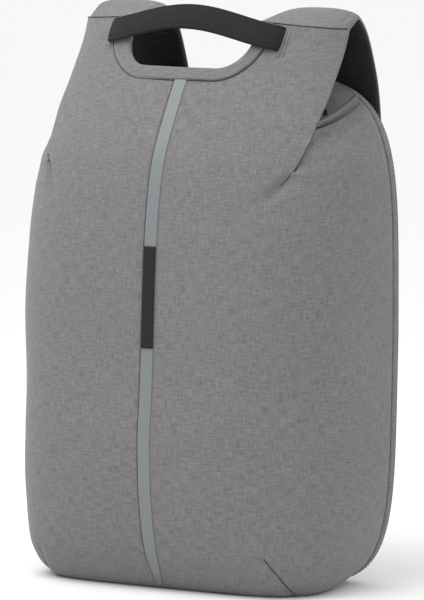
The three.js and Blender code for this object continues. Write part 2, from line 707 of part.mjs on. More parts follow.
// The webbing's middle runs this far from a bar's centre.
const TURN = BAR_RADIUS + GAP + WEBBING_THICKNESS / 2;

// The webbing runs straight through the adjuster and slants outwards below it.
function webbingCentre(z) {
  const slantTop = LOWER_BAR - ADJUSTER_LENGTH / 2;
  const share = THREE.MathUtils.clamp((slantTop - z) / (slantTop - ANCHOR_HEIGHT), 0, 1);
  return STRAP_END_X + ANCHOR_OUT * share;
}

// A closed turn round a bar, from angle to angle in degrees, where 0 is behind the bar and 90 above it.
function turnRound(barZ, fromDegrees, toDegrees) {
  return range(6).map((t) => {
    const angle = THREE.MathUtils.degToRad(mix(fromDegrees, toDegrees, t));
    return [ADJUSTER_Y + TURN * Math.cos(angle), barZ + TURN * Math.sin(angle)];
  });
}

function strapTab() {
  const top = STRAP_END - GAP - WEBBING_THICKNESS / 2;
  const path = [[ADJUSTER_Y - TURN, top], ...turnRound(UPPER_BAR, 180, 360), [ADJUSTER_Y + TURN, top]];
  return webbingAlong(path, () => STRAP_END_X);
}

function webbing() {
  const foot = ZIP_Y + PANEL_BACK + 2 * GAP + ANCHOR_THICKNESS + WEBBING_THICKNESS / 2;
  const tail = LOWER_BAR - TAIL_LENGTH;
  const path = [
    [foot, ANCHOR_HEIGHT],
    [foot, ANCHOR_HEIGHT + ANCHOR_LENGTH / 2],
    ...turnRound(LOWER_BAR, 180, 0),
    [ADJUSTER_Y + TURN + GAP, mix(LOWER_BAR, tail, 0.5)],
    [ADJUSTER_Y + TURN + GAP, tail],
  ];
  return webbingAlong(path, webbingCentre);
}

// A frame with two bars, seen from behind.
function adjuster() {
  const bars = [UPPER_BAR, LOWER_BAR].map((z) => {
    const bar = new THREE.CylinderGeometry(BAR_RADIUS, BAR_RADIUS, ADJUSTER_WIDTH, 12);
    bar.rotateZ(Math.PI / 2);
    bar.translate(STRAP_END_X, ADJUSTER_Y, z);
    return toSolid(bar);
  });
  const cheekWidth = (ADJUSTER_WIDTH - WEBBING_WIDTH) / 2 - 2 * GAP;
  const cheeks = [-1, 1].map((side) => {
    const cheek = new THREE.BoxGeometry(cheekWidth, 2 * BAR_RADIUS + 2 * GAP, ADJUSTER_LENGTH);
    const x = STRAP_END_X + side * (ADJUSTER_WIDTH - cheekWidth) * 0.5;
    cheek.translate(x, ADJUSTER_Y, (UPPER_BAR + LOWER_BAR) / 2);
    return toSolid(cheek);
  });
  return [...bars, ...cheeks].reduce((whole, piece) => whole.add(piece));
}

function anchor() {
  const x = webbingCentre(ANCHOR_HEIGHT);
  const half = WEBBING_WIDTH / 2;
  const low = ANCHOR_HEIGHT - ANCHOR_LENGTH / 2;
  const shape = new THREE.Shape();
  shape.moveTo(x - half, low + ANCHOR_LENGTH);
  shape.lineTo(x - half - CLOTH, low);
  shape.lineTo(x + half / 2, low);
  shape.lineTo(x + half, low + half);
  shape.lineTo(x + half, low + ANCHOR_LENGTH);
  shape.closePath();
  const near = ZIP_Y + PANEL_BACK + GAP;
  return blockAlongY(shape, near, near + ANCHOR_THICKNESS);
}

const paint = (color, roughness, metalness = 0) => new THREE.MeshStandardMaterial({ color, roughness, metalness });
const MELANGE = paint(0x8b8a87, 0.85);
const BLACK_CLOTH = paint(0x1c1d1f, 0.8);
const HANDLE_CLOTH = paint(0x343437, 0.75);
const REFLECTIVE = paint(0x9aa3a8, 0.4, 0.3);
const WEBBING = paint(0x202124, 0.7);
const PLASTIC = paint(0x17181a, 0.45);

const bag = new THREE.Group();

function add(name, geometry, material) {
  const mesh = new THREE.Mesh(geometry, material);
  mesh.name = name;
  bag.add(mesh);
  return mesh;
}

// Adds a piece of the right side and its mirror image on the left.
function addPair(name, geometry, material) {
  add(`${name}_right`, geometry, material);
  add(`${name}_left`, geometry, material).scale.x = -1;
}

const shell = toSolid(halfShell()).subtract(aboveSeams()).subtract(mouthBlock(0));
addPair("shell", toGeometry(shell), MELANGE);
addPair("wing_lining", toGeometry(lining()), BLACK_CLOTH);
add("mouth_rim", toGeometry(rim()), MELANGE);
add("reflective_strip", strip(), REFLECTIVE);
add("label", label(), BLACK_CLOTH);
add("base_panel", basePanel(), MELANGE);
add("border_band", border(), MELANGE);
add("concealed_zip", zip(), BLACK_CLOTH);
add("back_panel", toGeometry(backPanel()), BLACK_CLOTH);
add("top_handle", handle(), HANDLE_CLOTH);
addPair("strap_cover", toGeometry(strapCover()), MELANGE);
addPair("strap_pad", toGeometry(strapPad()), BLACK_CLOTH);
addPair("strap_tab", strapTab(), WEBBING);
addPair("adjuster", toGeometry(adjuster()), PLASTIC);
addPair("lower_webbing", webbing(), WEBBING);
addPair("anchor", anchor(), WEBBING);

export default bag;
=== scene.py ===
# %% [markdown]
# # Dressing an anti theft backpack
# The bag is one smooth grey front that runs up into two wings, and each wing turns over into a shoulder
# strap. Its plain solids already stand in the frame. This lesson sews the visible cloth over them, piece by
# piece, so that every piece lies where its solid lies and can be checked against it.

# %% Load the frame
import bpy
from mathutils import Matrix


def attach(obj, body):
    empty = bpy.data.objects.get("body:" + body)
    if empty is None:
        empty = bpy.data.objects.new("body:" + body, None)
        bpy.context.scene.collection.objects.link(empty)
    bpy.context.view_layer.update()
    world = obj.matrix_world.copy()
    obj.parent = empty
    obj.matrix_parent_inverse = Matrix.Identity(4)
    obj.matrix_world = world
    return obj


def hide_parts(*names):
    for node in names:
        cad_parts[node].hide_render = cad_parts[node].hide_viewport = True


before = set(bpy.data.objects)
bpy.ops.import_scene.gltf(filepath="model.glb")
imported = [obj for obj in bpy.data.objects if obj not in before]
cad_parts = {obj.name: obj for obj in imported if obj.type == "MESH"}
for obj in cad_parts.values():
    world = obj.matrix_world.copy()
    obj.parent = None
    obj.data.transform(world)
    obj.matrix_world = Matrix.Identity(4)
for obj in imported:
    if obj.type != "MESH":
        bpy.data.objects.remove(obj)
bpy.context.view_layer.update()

# %% [markdown]
# ## One surface for everything
# A real bag like this is cut from flat panels, but what we see is one continuous surface. It could be
# sculpted by hand, but then the rim, strip, stitches and creases would each need fitting. A short table of
# level sections gives a depth for every place on the front, so any trim can ask for its own seat on the
# cloth.

# %% The front as a table of sections, in millimetres
import math
import bmesh
import bpy
import numpy as np
from mathutils import Vector

MM = 0.001
BAG_HEIGHT = 394.0
HALF_WIDTH = 146.5
FRONT_DEPTH = 136.5
WING_TOP = BAG_HEIGHT + 39
ZIP_Y = 55.9
SEAM_EDGE = 0.2
DART_HEIGHT = BAG_HEIGHT - 69

# height over WING_TOP, depth over FRONT_DEPTH, widest half over HALF_WIDTH, fullness of the section
FRONT_SECTIONS = np.array([
    (0.0012, 0.748, 0.85, 5.2), (0.01, 0.79, 0.885, 5.0), (0.03, 0.846, 0.925, 4.7),
    (0.074, 0.925, 0.962, 4.2), (0.13, 0.969, 0.98, 3.8), (0.199, 0.995, 0.988, 3.6),
    (0.27, 1.0, 0.992, 3.5), (0.353, 0.98, 0.998, 3.5),
    (0.49, 0.953, 1.005, 3.5), (0.619, 0.929, 1.005, 3.4), (0.716, 0.89, 0.995, 3.1),
    (0.75, 0.866, 0.99, 2.9),
    (0.781, 0.835, 1.0, 2.7), (0.834, 0.752, 1.0, 2.4), (0.894, 0.643, 0.95, 2.25), (0.977, 0.473, 0.89, 2.2),
    (1.03, 0.36, 0.88, 2.2),
])
WING_EDGE = np.array([(0, 0.764), (0.12, 0.788), (0.3, 0.808), (0.55, 0.818), (1.1, 0.823)])


def clamp(value):
    return np.clip(value, 0, 1)


def eased(t):
    """Starts and ends slowly between 0 and 1."""
    return t * t * (3 - 2 * t)


def bell(away, width):
    """1 in the middle, fading to 0 over a few widths."""
    return np.exp(-((away / width) ** 2))


def unit(vectors):
    return vectors / np.maximum(np.linalg.norm(vectors, axis=-1, keepdims=True), 1e-9)


def follow(keys, values, at):
    """Smooth value of a table's column, without overshoot."""
    at = np.clip(np.asarray(at, float), keys[0], keys[-1])
    slopes = np.diff(values) / np.diff(keys)
    before, after = slopes[:-1], slopes[1:]
    same_way = before * after > 0
    mean = 2 * before * after / np.where(same_way, before + after, 1)
    tangents = np.concatenate([slopes[:1], np.where(same_way, mean, 0), slopes[-1:]])
    i = np.clip(np.searchsorted(keys, at, side="right") - 1, 0, len(keys) - 2)
    span = keys[i + 1] - keys[i]
    t = (at - keys[i]) / span
    rise = (values[i + 1] - values[i]) * t * t * (3 - 2 * t)
    leave = t * (1 - t) ** 2 * span * tangents[i]
    arrive = t * t * (t - 1) * span * tangents[i + 1]
    return values[i] + rise + leave + arrive


def section(column, z):
    return follow(FRONT_SECTIONS[:, 0], FRONT_SECTIONS[:, column], z / WING_TOP)


def front_depth(z):
    return FRONT_DEPTH * section(1, z)


def side_half_width(z):
    return HALF_WIDTH * section(2, z)


def fullness(z):
    return section(3, z)


def wing_edge(z):
    rise = (np.asarray(z, float) - DART_HEIGHT) / (WING_TOP - DART_HEIGHT)
    return HALF_WIDTH * follow(WING_EDGE[:, 0], WING_EDGE[:, 1], rise)


def outline_half_width(z):
    half = (BAG_HEIGHT + 4) / 2
    middle = BAG_HEIGHT - half
    power = np.where(z > middle, 4.7, 5.4)
    share = np.minimum(1, np.abs(z - middle) / half)
    taper = 1 - 0.03 * np.maximum(0, (middle - z) / half)
    return HALF_WIDTH * taper * (1 - share**power) ** (1 / power)


print("front depth at z 100, 250, 400:", np.round(front_depth(np.array([100.0, 250.0, 400.0])), 1))

# %% [markdown]
# ## Soft places and creases
# Cloth over foam is never exactly smooth. A sculpt brush would do, but its strokes can't be repeated, so
# the softness is a sum of a few long waves, and each crease is a line with its own depth and width. Both
# move the cloth along its normal, and all trims that lie on the front follow because they ask the same
# function.

# %% Softness and creases of the front
# Each crease: points (x, z), depth at each point, half-width; the left side mirrors the right
RIGHT_CREASES = [
    ([(112, 327), (110, 321), (104, 314), (97, 307), (88, 301)], [1.2, 4.6, 4.0, 2.2, 0.0], 3.8),
    ([(103, 33), (109, 19), (112, 10), (113, 1)], [0.0, 2.2, 2.6, 2.2], 4.5),
]
LEFT_CREASES = [([(-x, z) for x, z in points], depths, width) for points, depths, width in RIGHT_CREASES]
CREASES = RIGHT_CREASES + LEFT_CREASES


def crease_depth(x, z):
    total = np.zeros(np.broadcast(x, z).shape)
    for points, depths, width in CREASES:
        nearest = np.full(total.shape, 1e9)
        deep = np.zeros(total.shape)
        for (x0, z0), (x1, z1), d0, d1 in zip(points, points[1:], depths, depths[1:]):
            run = (x1 - x0) ** 2 + (z1 - z0) ** 2
            t = clamp(((x - x0) * (x1 - x0) + (z - z0) * (z1 - z0)) / run)
            away = np.hypot(x - x0 - t * (x1 - x0), z - z0 - t * (z1 - z0))
            closer = away < nearest
            nearest = np.where(closer, away, nearest)
            deep = np.where(closer, d0 + t * (d1 - d0), deep)
        total += deep * bell(nearest, width)
    return total


def softness(x, z):
    long_wave = np.sin(x / 41 + z / 63 + 0.6) * np.sin(z / 52 - x / 85)
    short_wave = np.sin(x / 19 + 1.1) * np.sin(z / 27 + 0.4) * np.sin((x + z) / 33)
    middle_seam = 1 - np.exp(-((x / 14) ** 2))
    foot = clamp(z / 30)
    return (0.55 * long_wave + 0.3 * short_wave) * middle_seam * foot


def bare_face(x, z):
    """Places on the front, without softness, for x and z of one shape."""
    n = fullness(z)
    share = np.minimum(1, np.abs(x) / side_half_width(z))
    depth = front_depth(z) * (1 - share**n) ** (1 / n)
    return np.stack(np.broadcast_arrays(x, ZIP_Y - depth, z), axis=-1)


def face_normal(x, z):
    step = 0.5
    across = bare_face(x + step, z) - bare_face(x - step, z)
    up = bare_face(x, z + step) - bare_face(x, z - step)
    return unit(np.cross(across, up))


def on_face(x, z, out=0.0):
    x, z, out = np.broadcast_arrays(np.asarray(x, float), np.asarray(z, float), np.asarray(out, float))
    lift = out + softness(x, z) - crease_depth(x, z)
    return bare_face(x, z) + face_normal(x, z) * lift[..., None]


sample = softness(np.linspace(-120, 120, 60)[None], np.linspace(20, 420, 60)[:, None])
print("softness between", round(float(sample.min()), 2), "and", round(float(sample.max()), 2), "mm")

# %% [markdown]
# ## From grids of points to pieces
# Almost every panel here is a curved rectangle, so each is a grid of points. Faces could be drawn by hand
# in edit mode, but a grid keeps rows and columns in order, gives a map of the cloth in millimetres for the
# weave, and joins to its neighbours where their edges meet.

# %% Turn grids into a mesh piece
def smooth_steps(count, both=True):
    t = np.linspace(0, 1, count)
    return 0.5 - 0.5 * np.cos(np.pi * t) if both else np.sin(t * np.pi / 2)


def mirrored(grid):
    return (grid * np.array([-1.0, 1.0, 1.0]))[:, ::-1]


SIDES = {"right": 1.0, "left": -1.0}


def turned(grid, flip):
    """A grid as it lies on the right, or mirrored for the left."""
    return grid if flip > 0 else mirrored(grid)


def lengths(grid, axis):
    steps = np.linalg.norm(np.diff(grid, axis=axis), axis=2)
    start = np.zeros((grid.shape[0], 1)) if axis == 1 else np.zeros((1, grid.shape[1]))
    return np.concatenate([start, np.cumsum(steps, axis=axis)], axis=axis)


def cloth_map(grid):
    return np.stack([lengths(grid, 1), lengths(grid, 0)], axis=-1)


def make_piece(name, grids, material, slot, stands_for=(), maps=None, thickness=0.0, merge=0.02):
    vertices, faces, maps_flat, start = [], [], [], 0
    for number, grid in enumerate(grids):
        rows, columns = grid.shape[:2]
        corner = start + np.arange(rows * columns).reshape(rows, columns)
        square = [corner[:-1, :-1], corner[:-1, 1:], corner[1:, 1:], corner[1:, :-1]]
        faces.append(np.stack(square, axis=-1).reshape(-1, 4))
        vertices.append(grid.reshape(-1, 3))
        place = maps[number] if maps else cloth_map(grid)
        maps_flat.append(place.reshape(-1, 2))
        start += rows * columns
    faces = np.concatenate(faces)
    mesh = bpy.data.meshes.new(name)
    mesh.from_pydata((np.concatenate(vertices) * MM).tolist(), [], faces.tolist())
    layer = mesh.uv_layers.new(name="cloth_mm")
    layer.data.foreach_set("uv", np.concatenate(maps_flat)[faces.reshape(-1)].astype(np.float32).ravel())
    joined = bmesh.new()
    joined.from_mesh(mesh)
    bmesh.ops.remove_doubles(joined, verts=joined.verts, dist=merge * MM)
    joined.to_mesh(mesh)
    joined.free()
    return finish_piece(name, mesh, material, stands_for, thickness)


def finish_piece(name, mesh, material, stands_for=(), thickness=0.0):
    for polygon in mesh.polygons:
        polygon.use_smooth = True
    mesh.materials.append(material)
    piece = bpy.data.objects.new(name, mesh)
    bpy.context.scene.collection.objects.link(piece)
    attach(piece, "root")
    if stands_for:
        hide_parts(*stands_for)
    if thickness:
        solid = piece.modifiers.new("cloth thickness", "SOLIDIFY")
        solid.thickness = thickness * MM
        solid.offset = -1
    return piece


def make_pair(name, grids, material, slot, stands_for="", **more):
    """The same piece on the right and on the left."""
    pair = []
    for side_name, flip in SIDES.items():
        solids = [f"{stands_for}_{side_name}"] if stands_for else ()
        own_grids = [turned(grid, flip) for grid in grids]
        pair.append(make_piece(f"{name}_{side_name}", own_grids, material, slot, solids, **more))
    return pair


print("pieces are made from grids of quads, mapped in millimetres")

# %% [markdown]
# ## Woven cloth as a node group
# All the cloths differ only in how far apart their yarns lie and how uneven they are. Pictures of cloth
# would give that quickly but blur close up, so the weave is worked out from the cloth's own map in
# millimetres: two sets of sines make the yarns that pass over and under, and stretched noise makes the
# thick places, the slubs.

# %% Small helpers for node trees
def add_node(tree, kind, settings=(), **sockets):
    made = tree.nodes.new(kind)
    for name, value in dict(settings).items():
        setattr(made, name, value)
    for name, value in sockets.items():
        numbered = name[0] == "i" and name[1:].isdigit()
        socket = made.inputs[int(name[1:]) if numbered else name.replace("_", " ")]
        if isinstance(value, bpy.types.NodeSocket):
            tree.links.new(value, socket)
        else:
            socket.default_value = value
    return made


def maths(tree, operation, a, b=0.5, c=0.5):
    return add_node(tree, "ShaderNodeMath", {"operation": operation}, i0=a, i1=b, i2=c).outputs[0]


def new_group(name, inputs, outputs):
    tree = bpy.data.node_groups.new(name, "ShaderNodeTree")
    for label, kind, value in inputs:
        socket = tree.interface.new_socket(label, in_out="INPUT", socket_type=kind)
        if value is not None:
            socket.default_value = value
    for label, kind in outputs:
        tree.interface.new_socket(label, in_out="OUTPUT", socket_type=kind)
    return tree, tree.nodes.new("NodeGroupInput").outputs, tree.nodes.new("NodeGroupOutput").inputs


# %% The weave group
FLOAT, VECTOR = "NodeSocketFloat", "NodeSocketVector"
weave, given, result = new_group(
    "woven yarns",
    [("Cloth Map", VECTOR, None), ("Warp Pitch", FLOAT, 0.6), ("Weft Pitch", FLOAT, 0.6),
     ("Slub Length", FLOAT, 4.0), ("Slub Strength", FLOAT, 0.5)],
    [("Shade", FLOAT), ("Height", FLOAT)],
)
split = add_node(weave, "ShaderNodeSeparateXYZ", i0=given["Cloth Map"])
across, along = split.outputs["X"], split.outputs["Y"]
warp_turn = maths(weave, "DIVIDE", maths(weave, "MULTIPLY", across, math.pi), given["Warp Pitch"])
weft_turn = maths(weave, "DIVIDE", maths(weave, "MULTIPLY", along, math.pi), given["Weft Pitch"])
crossing = maths(weave, "MULTIPLY", maths(weave, "SINE", warp_turn), maths(weave, "SINE", weft_turn))


def slubs(fine, run, fine_pitch, seed):
    """Noise that is short across the yarn and long along it."""
    thin = maths(weave, "DIVIDE", fine, maths(weave, "MULTIPLY", fine_pitch, 2.0))
    long = maths(weave, "DIVIDE", run, given["Slub Length"])
    place = add_node(weave, "ShaderNodeCombineXYZ", X=thin, Y=long, Z=seed)
    noise = add_node(weave, "ShaderNodeTexNoise", Vector=place.outputs[0], Scale=1.0, Detail=2.0,
                     Roughness=0.6)
    return maths(weave, "SUBTRACT", noise.outputs[0], 0.5)


warp_slubs = slubs(across, along, given["Warp Pitch"], 3.0)
weft_slubs = slubs(along, across, given["Weft Pitch"], 17.0)
uneven = maths(weave, "MULTIPLY", maths(weave, "ADD", warp_slubs, weft_slubs), given["Slub Strength"])
shade = maths(weave, "ADD", maths(weave, "MULTIPLY_ADD", crossing, 0.12, 0.5), uneven)
weave.links.new(shade, result["Shade"])
height = maths(weave, "ADD", maths(weave, "MULTIPLY_ADD", crossing, 0.4, 0.5),
               maths(weave, "MULTIPLY", uneven, 0.6))
weave.links.new(height, result["Height"])
print("woven yarns group has", len(weave.nodes), "nodes")

# %% [markdown]
# ## Unevenness from use
# New cloth still varies a little from place to place, where hands and shelves have touched it and where dye
# took less. Painting that by hand suits one view only, so a second group gives a slow, large variation from
# the place in space, and each material adds as much of it as it needs.

# %% The handling group
handling, given, result = new_group(
    "handling marks",
    [("Place", VECTOR, None), ("Patch Size", FLOAT, 60.0), ("Strength", FLOAT, 0.1)],
    [("Change", FLOAT)],
)
size_in_metres = maths(handling, "MULTIPLY", given["Patch Size"], MM)
spread = maths(handling, "DIVIDE", 1.0, size_in_metres)
scaled = add_node(handling, "ShaderNodeVectorMath", {"operation": "SCALE"}, Vector=given["Place"],
                  Scale=spread)
cloud = add_node(handling, "ShaderNodeTexNoise", Vector=scaled.outputs[0], Scale=1.0, Detail=3.0,
                 Roughness=0.55)
centred = maths(handling, "SUBTRACT", cloud.outputs[0], 0.5)
handling.links.new(maths(handling, "MULTIPLY", centred, given["Strength"]), result["Change"])

# %% [markdown]
# ## The cloths
# Every cloth material is the same recipe with its own numbers: a dark and a pale yarn colour mixed by the
# weave, a bump as deep as the yarns, and a soft sheen where fibres stand off the surface.

# %% One recipe for all woven materials
def blank_material(name):
    material = bpy.data.materials.new(name)
    material.use_nodes = True
    tree = material.node_tree
    tree.nodes.clear()
    return material, tree, add_node(tree, "ShaderNodeTexCoord").outputs


def marks_of_use(tree, place, patch_size, strength):
    group = add_node(tree, "ShaderNodeGroup", {"node_tree": handling}, Place=place["Object"],
                     Patch_Size=patch_size, Strength=strength)
    return group.outputs["Change"]


def two_tone(tree, amount, first, second, start=0.0, end=1.0):
    ramp = add_node(tree, "ShaderNodeValToRGB", Fac=amount)
    for element, position, colour in zip(ramp.color_ramp.elements, (start, end), (first, second)):
        element.position = position
        element.color = (*colour, 1)
    return ramp.outputs[0]


def raised_by(tree, height, strength, distance):
    bump = add_node(tree, "ShaderNodeBump", Strength=strength, Distance=distance * MM, Height=height)
    return bump.outputs[0]


def surfaced(material, **looks):
    tree = material.node_tree
    shader = add_node(tree, "ShaderNodeBsdfPrincipled", **looks)
    output = add_node(tree, "ShaderNodeOutputMaterial")
    tree.links.new(shader.outputs[0], output.inputs["Surface"])
    return material


def cloth_material(name, dark, pale, pitch, slubs, rough, bump, sheen, marks, specular=0.3):
    material, tree, place = blank_material(name)
    yarns = add_node(tree, "ShaderNodeGroup", {"node_tree": weave}, Cloth_Map=place["UV"],
                     Warp_Pitch=pitch[0], Weft_Pitch=pitch[1], Slub_Length=slubs[0],
                     Slub_Strength=slubs[1]).outputs
    amount = maths(tree, "ADD", yarns["Shade"], marks_of_use(tree, place, 70.0, marks))
    colour = two_tone(tree, amount, dark, pale, 0.2, 0.8)
    raised = raised_by(tree, yarns["Height"], 0.6, bump)
    roughness = maths(tree, "MULTIPLY_ADD", yarns["Height"], -0.12, rough + 0.06)
    return surfaced(material, Base_Color=colour, Roughness=roughness, Normal=raised, Sheen_Weight=sheen,
                    Sheen_Roughness=0.5, Specular_IOR_Level=specular)


# Dark and pale yarn, pitches, length and strength of slubs, roughness, bump, sheen, marks, specular
MELANGE = cloth_material("grey melange", (0.098, 0.097, 0.094), (0.206, 0.204, 0.198), (0.55, 0.6),
                         (9.0, 0.75), 0.9, 0.16, 0.15, 0.1)
LINING = cloth_material("black lining", (0.005, 0.005, 0.0055), (0.012, 0.012, 0.0125), (0.35, 0.35),
                        (6.0, 0.1), 0.7, 0.05, 0.02, 0.2, 0.15)
HANDLE = cloth_material("charcoal handle cloth", (0.007, 0.007, 0.0078), (0.019, 0.019, 0.0205), (0.7, 0.7),
                        (5.0, 0.6), 0.85, 0.2, 0.05, 0.1, 0.2)
LABEL = cloth_material("black woven label", (0.009, 0.009, 0.0105), (0.022, 0.022, 0.025), (0.5, 0.4),
                       (5.0, 0.3), 0.8, 0.08, 0.02, 0.1, 0.2)
WEBBING = cloth_material("ribbed webbing", (0.01, 0.01, 0.011), (0.035, 0.035, 0.037), (1.6, 0.9),
                         (9.0, 0.3), 0.6, 0.35, 0.1, 0.1)
ZIP_TAPE = cloth_material("zip tape", (0.007, 0.007, 0.008), (0.022, 0.022, 0.023), (0.5, 0.9), (9.0, 0.2),
                          0.7, 0.1, 0.1, 0.1)
TAPE = cloth_material("reflective tape", (0.122, 0.135, 0.14), (0.18, 0.197, 0.204), (0.4, 0.4), (2.0, 0.5),
                      0.5, 0.05, 0.0, 0.1, 0.6)
PALE_THREAD = cloth_material("pale thread", (0.25, 0.247, 0.238), (0.38, 0.376, 0.366), (0.3, 0.3),
                             (2.0, 0.4), 0.7, 0.05, 0.2, 0.1)
# Dark thread for stitches; the same dark material also paints the shade in seams, gaps and slits
DARK_THREAD_AND_SEAM_SHADE = cloth_material("dark thread and painted seam shade", (0.012, 0.012, 0.013), (0.04, 0.04, 0.042), (0.3, 0.3),
                             (2.0, 0.4), 0.7, 0.05, 0.1, 0.1)
print("cloth materials:", len(bpy.data.materials))

# %% [markdown]
# ## Spacer mesh and plastic
# The padding is covered with an open knitted mesh. Real holes would need millions of faces, and bump alone
# looks flat, so rows of cells are painted with the shade that deep holes would hold, and also drive a deep
# bump. The buckles are plain moulded plastic with a fine spark eroded grain.

# %% Mesh and plastic materials
mesh_cells, given, result = new_group(
    "open knit cells",
    [("Cloth Map", VECTOR, None), ("Cell", FLOAT, 2.4)],
    [("Hole", FLOAT), ("Height", FLOAT)],
)
per_cell = maths(mesh_cells, "DIVIDE", 1.0, given["Cell"])
cells = add_node(mesh_cells, "ShaderNodeVectorMath", {"operation": "SCALE"}, Vector=given["Cloth Map"],
                 Scale=per_cell)
grid_of_cells = add_node(mesh_cells, "ShaderNodeTexVoronoi", {"voronoi_dimensions": "2D"},
                         Vector=cells.outputs[0], Scale=1.0, Randomness=0.12)
hole = add_node(mesh_cells, "ShaderNodeMapRange", {"interpolation_type": "SMOOTHSTEP"},
                Value=grid_of_cells.outputs["Distance"], From_Min=0.24, From_Max=0.44, To_Min=1.0, To_Max=0.0)
mesh_cells.links.new(hole.outputs[0], result["Hole"])
mesh_cells.links.new(maths(mesh_cells, "SUBTRACT", 1.0, hole.outputs[0]), result["Height"])


def mesh_material(name, knit, deep, flat_map):
    material, tree, place = blank_material(name)
    cloth_place = place["UV"]
    if flat_map:
        parts = add_node(tree, "ShaderNodeSeparateXYZ", i0=place["Object"])
        flat = add_node(tree, "ShaderNodeCombineXYZ", X=parts.outputs["X"], Y=parts.outputs["Z"])
        to_mm = add_node(tree, "ShaderNodeVectorMath", {"operation": "SCALE"}, Vector=flat.outputs[0],
                         Scale=1000.0)
        cloth_place = to_mm.outputs[0]
    knitted = add_node(tree, "ShaderNodeGroup", {"node_tree": mesh_cells}, Cloth_Map=cloth_place,
                       Cell=2.4).outputs
    amount = maths(tree, "ADD", knitted["Hole"], marks_of_use(tree, place, 50.0, 0.5))
    # the deep colour is painted shade inside the holes
    colour = two_tone(tree, amount, knit, deep)
    raised = raised_by(tree, knitted["Height"], 0.9, 0.7)
    return surfaced(material, Base_Color=colour, Roughness=0.75, Normal=raised, Sheen_Weight=0.08,
                    Sheen_Roughness=0.5, Specular_IOR_Level=0.25)


def plastic_material(name, dark, pale):
    material, tree, place = blank_material(name)
    grain = add_node(tree, "ShaderNodeTexNoise", Vector=place["Object"], Scale=2500.0, Detail=2.0).outputs[0]
    amount = maths(tree, "ADD", maths(tree, "MULTIPLY", grain, 0.6), marks_of_use(tree, place, 8.0, 1.2))
    colour = two_tone(tree, amount, dark, pale)
    roughness = maths(tree, "MULTIPLY_ADD", amount, 0.2, 0.38)
    raised = raised_by(tree, grain, 0.3, 0.03)
    return surfaced(material, Base_Color=colour, Roughness=roughness, Normal=raised)


# The second colour of each mesh is the painted shade of its holes
BACK_MESH = mesh_material("spacer mesh on the back", (0.028, 0.028, 0.03), (0.004, 0.004, 0.004), True)
STRAP_MESH = mesh_material("spacer mesh under the straps", (0.014, 0.014, 0.015), (0.003, 0.003, 0.003),
                           False)
PLASTIC = plastic_material("black moulded plastic", (0.008, 0.008, 0.009), (0.016, 0.016, 0.017))

# %% [markdown]
# ## The front and sides
# Each half of the bag is one big panel: front, wing, side, shoulder and roof. A box shaped by subdivision
# would round off the slim wing, so five grids are laid next to each other on the same sections as the solid
# and joined. At the centre the cloth rolls in to the seam, and the wing's free edge is a turned hem.

# %% Grids of one half
FRONT_COLUMNS = 58
SIDE_COLUMNS = 40
ROLL = 1.5
HEM = 1.3
TUCK, TUCK_SIDE = 5.0, 2.0
SEAM_INNER = 54.0
MOUTH_HALF, MOUTH_FLOOR, MOUTH_RADIUS = 57.5, 401.4, 25.0


def seam_height(x):
    outer = wing_edge(WING_TOP)
    return WING_TOP + 5 * (outer - np.abs(x)) / (outer - SEAM_INNER)


def seam_roll(x):
    """How far the cloth sinks where it rolls in to the centre seam."""
    t = clamp((np.abs(x) - SEAM_EDGE) / ROLL)
    return -ROLL * (1 - np.sqrt(1 - (1 - t) ** 2))


def centre_allowance(grid):
    """Adds the strip of cloth that turns inwards behind the centre seam."""
    inward = np.array([0.0, 1.0, 0.0])
    extra = [grid[:, :1] + inward * deep for deep in (5.0, 2.0)]
    return np.concatenate([*extra, grid], axis=1)


def hemmed(grid, radius=HEM, fold=7.0):
    """Rolls the last column round a small radius and back behind the cloth."""
    edge, before = grid[:, -1], grid[:, -3]
    fold = fold * clamp(radius / 0.7)
    outwards = edge - before
    outwards = unit(outwards)
    along = np.gradient(edge, axis=0)
    along = unit(along)
    normal = np.cross(outwards, along)
    normal = unit(normal)
    extra = []
    for degrees in (30, 60, 90, 120, 150, 180):
        a = math.radians(degrees)
        extra.append(edge + outwards * radius * math.sin(a) - normal * radius * (1 - math.cos(a)))
    extra.append(extra[-1] - outwards * fold)
    return np.concatenate([grid, np.stack(extra, axis=1)], axis=1)


def front_columns(z, inner, outer, count):
    t = smooth_steps(count, both=False)
    return inner[:, None] + (outer - inner)[:, None] * t[None]


lower_heights = np.concatenate([np.linspace(0.5, 30, 16), np.linspace(30, DART_HEIGHT, 124)[1:]])
wing_heights = np.linspace(DART_HEIGHT, MOUTH_FLOOR, 34)
seam_columns = np.array([0.0, 0.35, 0.75, 1.5])


def front_patch(heights, edges):
    inner = np.full(len(heights), SEAM_EDGE + ROLL)
    rest = front_columns(heights, inner, edges, FRONT_COLUMNS)
    x = np.concatenate([np.repeat(SEAM_EDGE + seam_columns[None, :3], len(heights), axis=0), rest], axis=1)
    z = np.repeat(heights[:, None], x.shape[1], axis=1)
    return on_face(x, z, seam_roll(x))


print("front grid:", front_patch(lower_heights, wing_edge(lower_heights)).shape)

# %% Side, shoulder and roof grids
def side_patch(heights):
    z = heights[:, None]
    n, w = fullness(z), side_half_width(z)
    start = np.arccos((wing_edge(z) / w) ** (n / 2))
    angle = start * (1 - np.linspace(0, 1, SIDE_COLUMNS)[None])
    depth = front_depth(z) * np.maximum(0, np.sin(angle)) ** (2 / n)
    draw = (1 - np.minimum(1, depth / 100)) ** 2
    pulled = np.minimum(1, outline_half_width(z) / w)
    x = w * np.cos(angle) ** (2 / n) * (1 + (pulled - 1) * draw)
    return np.stack(np.broadcast_arrays(x, ZIP_Y - np.maximum(depth, 1.6), z), axis=-1)


def grid_normals(grid):
    return unit(np.cross(np.gradient(grid, axis=1), np.gradient(grid, axis=0)))


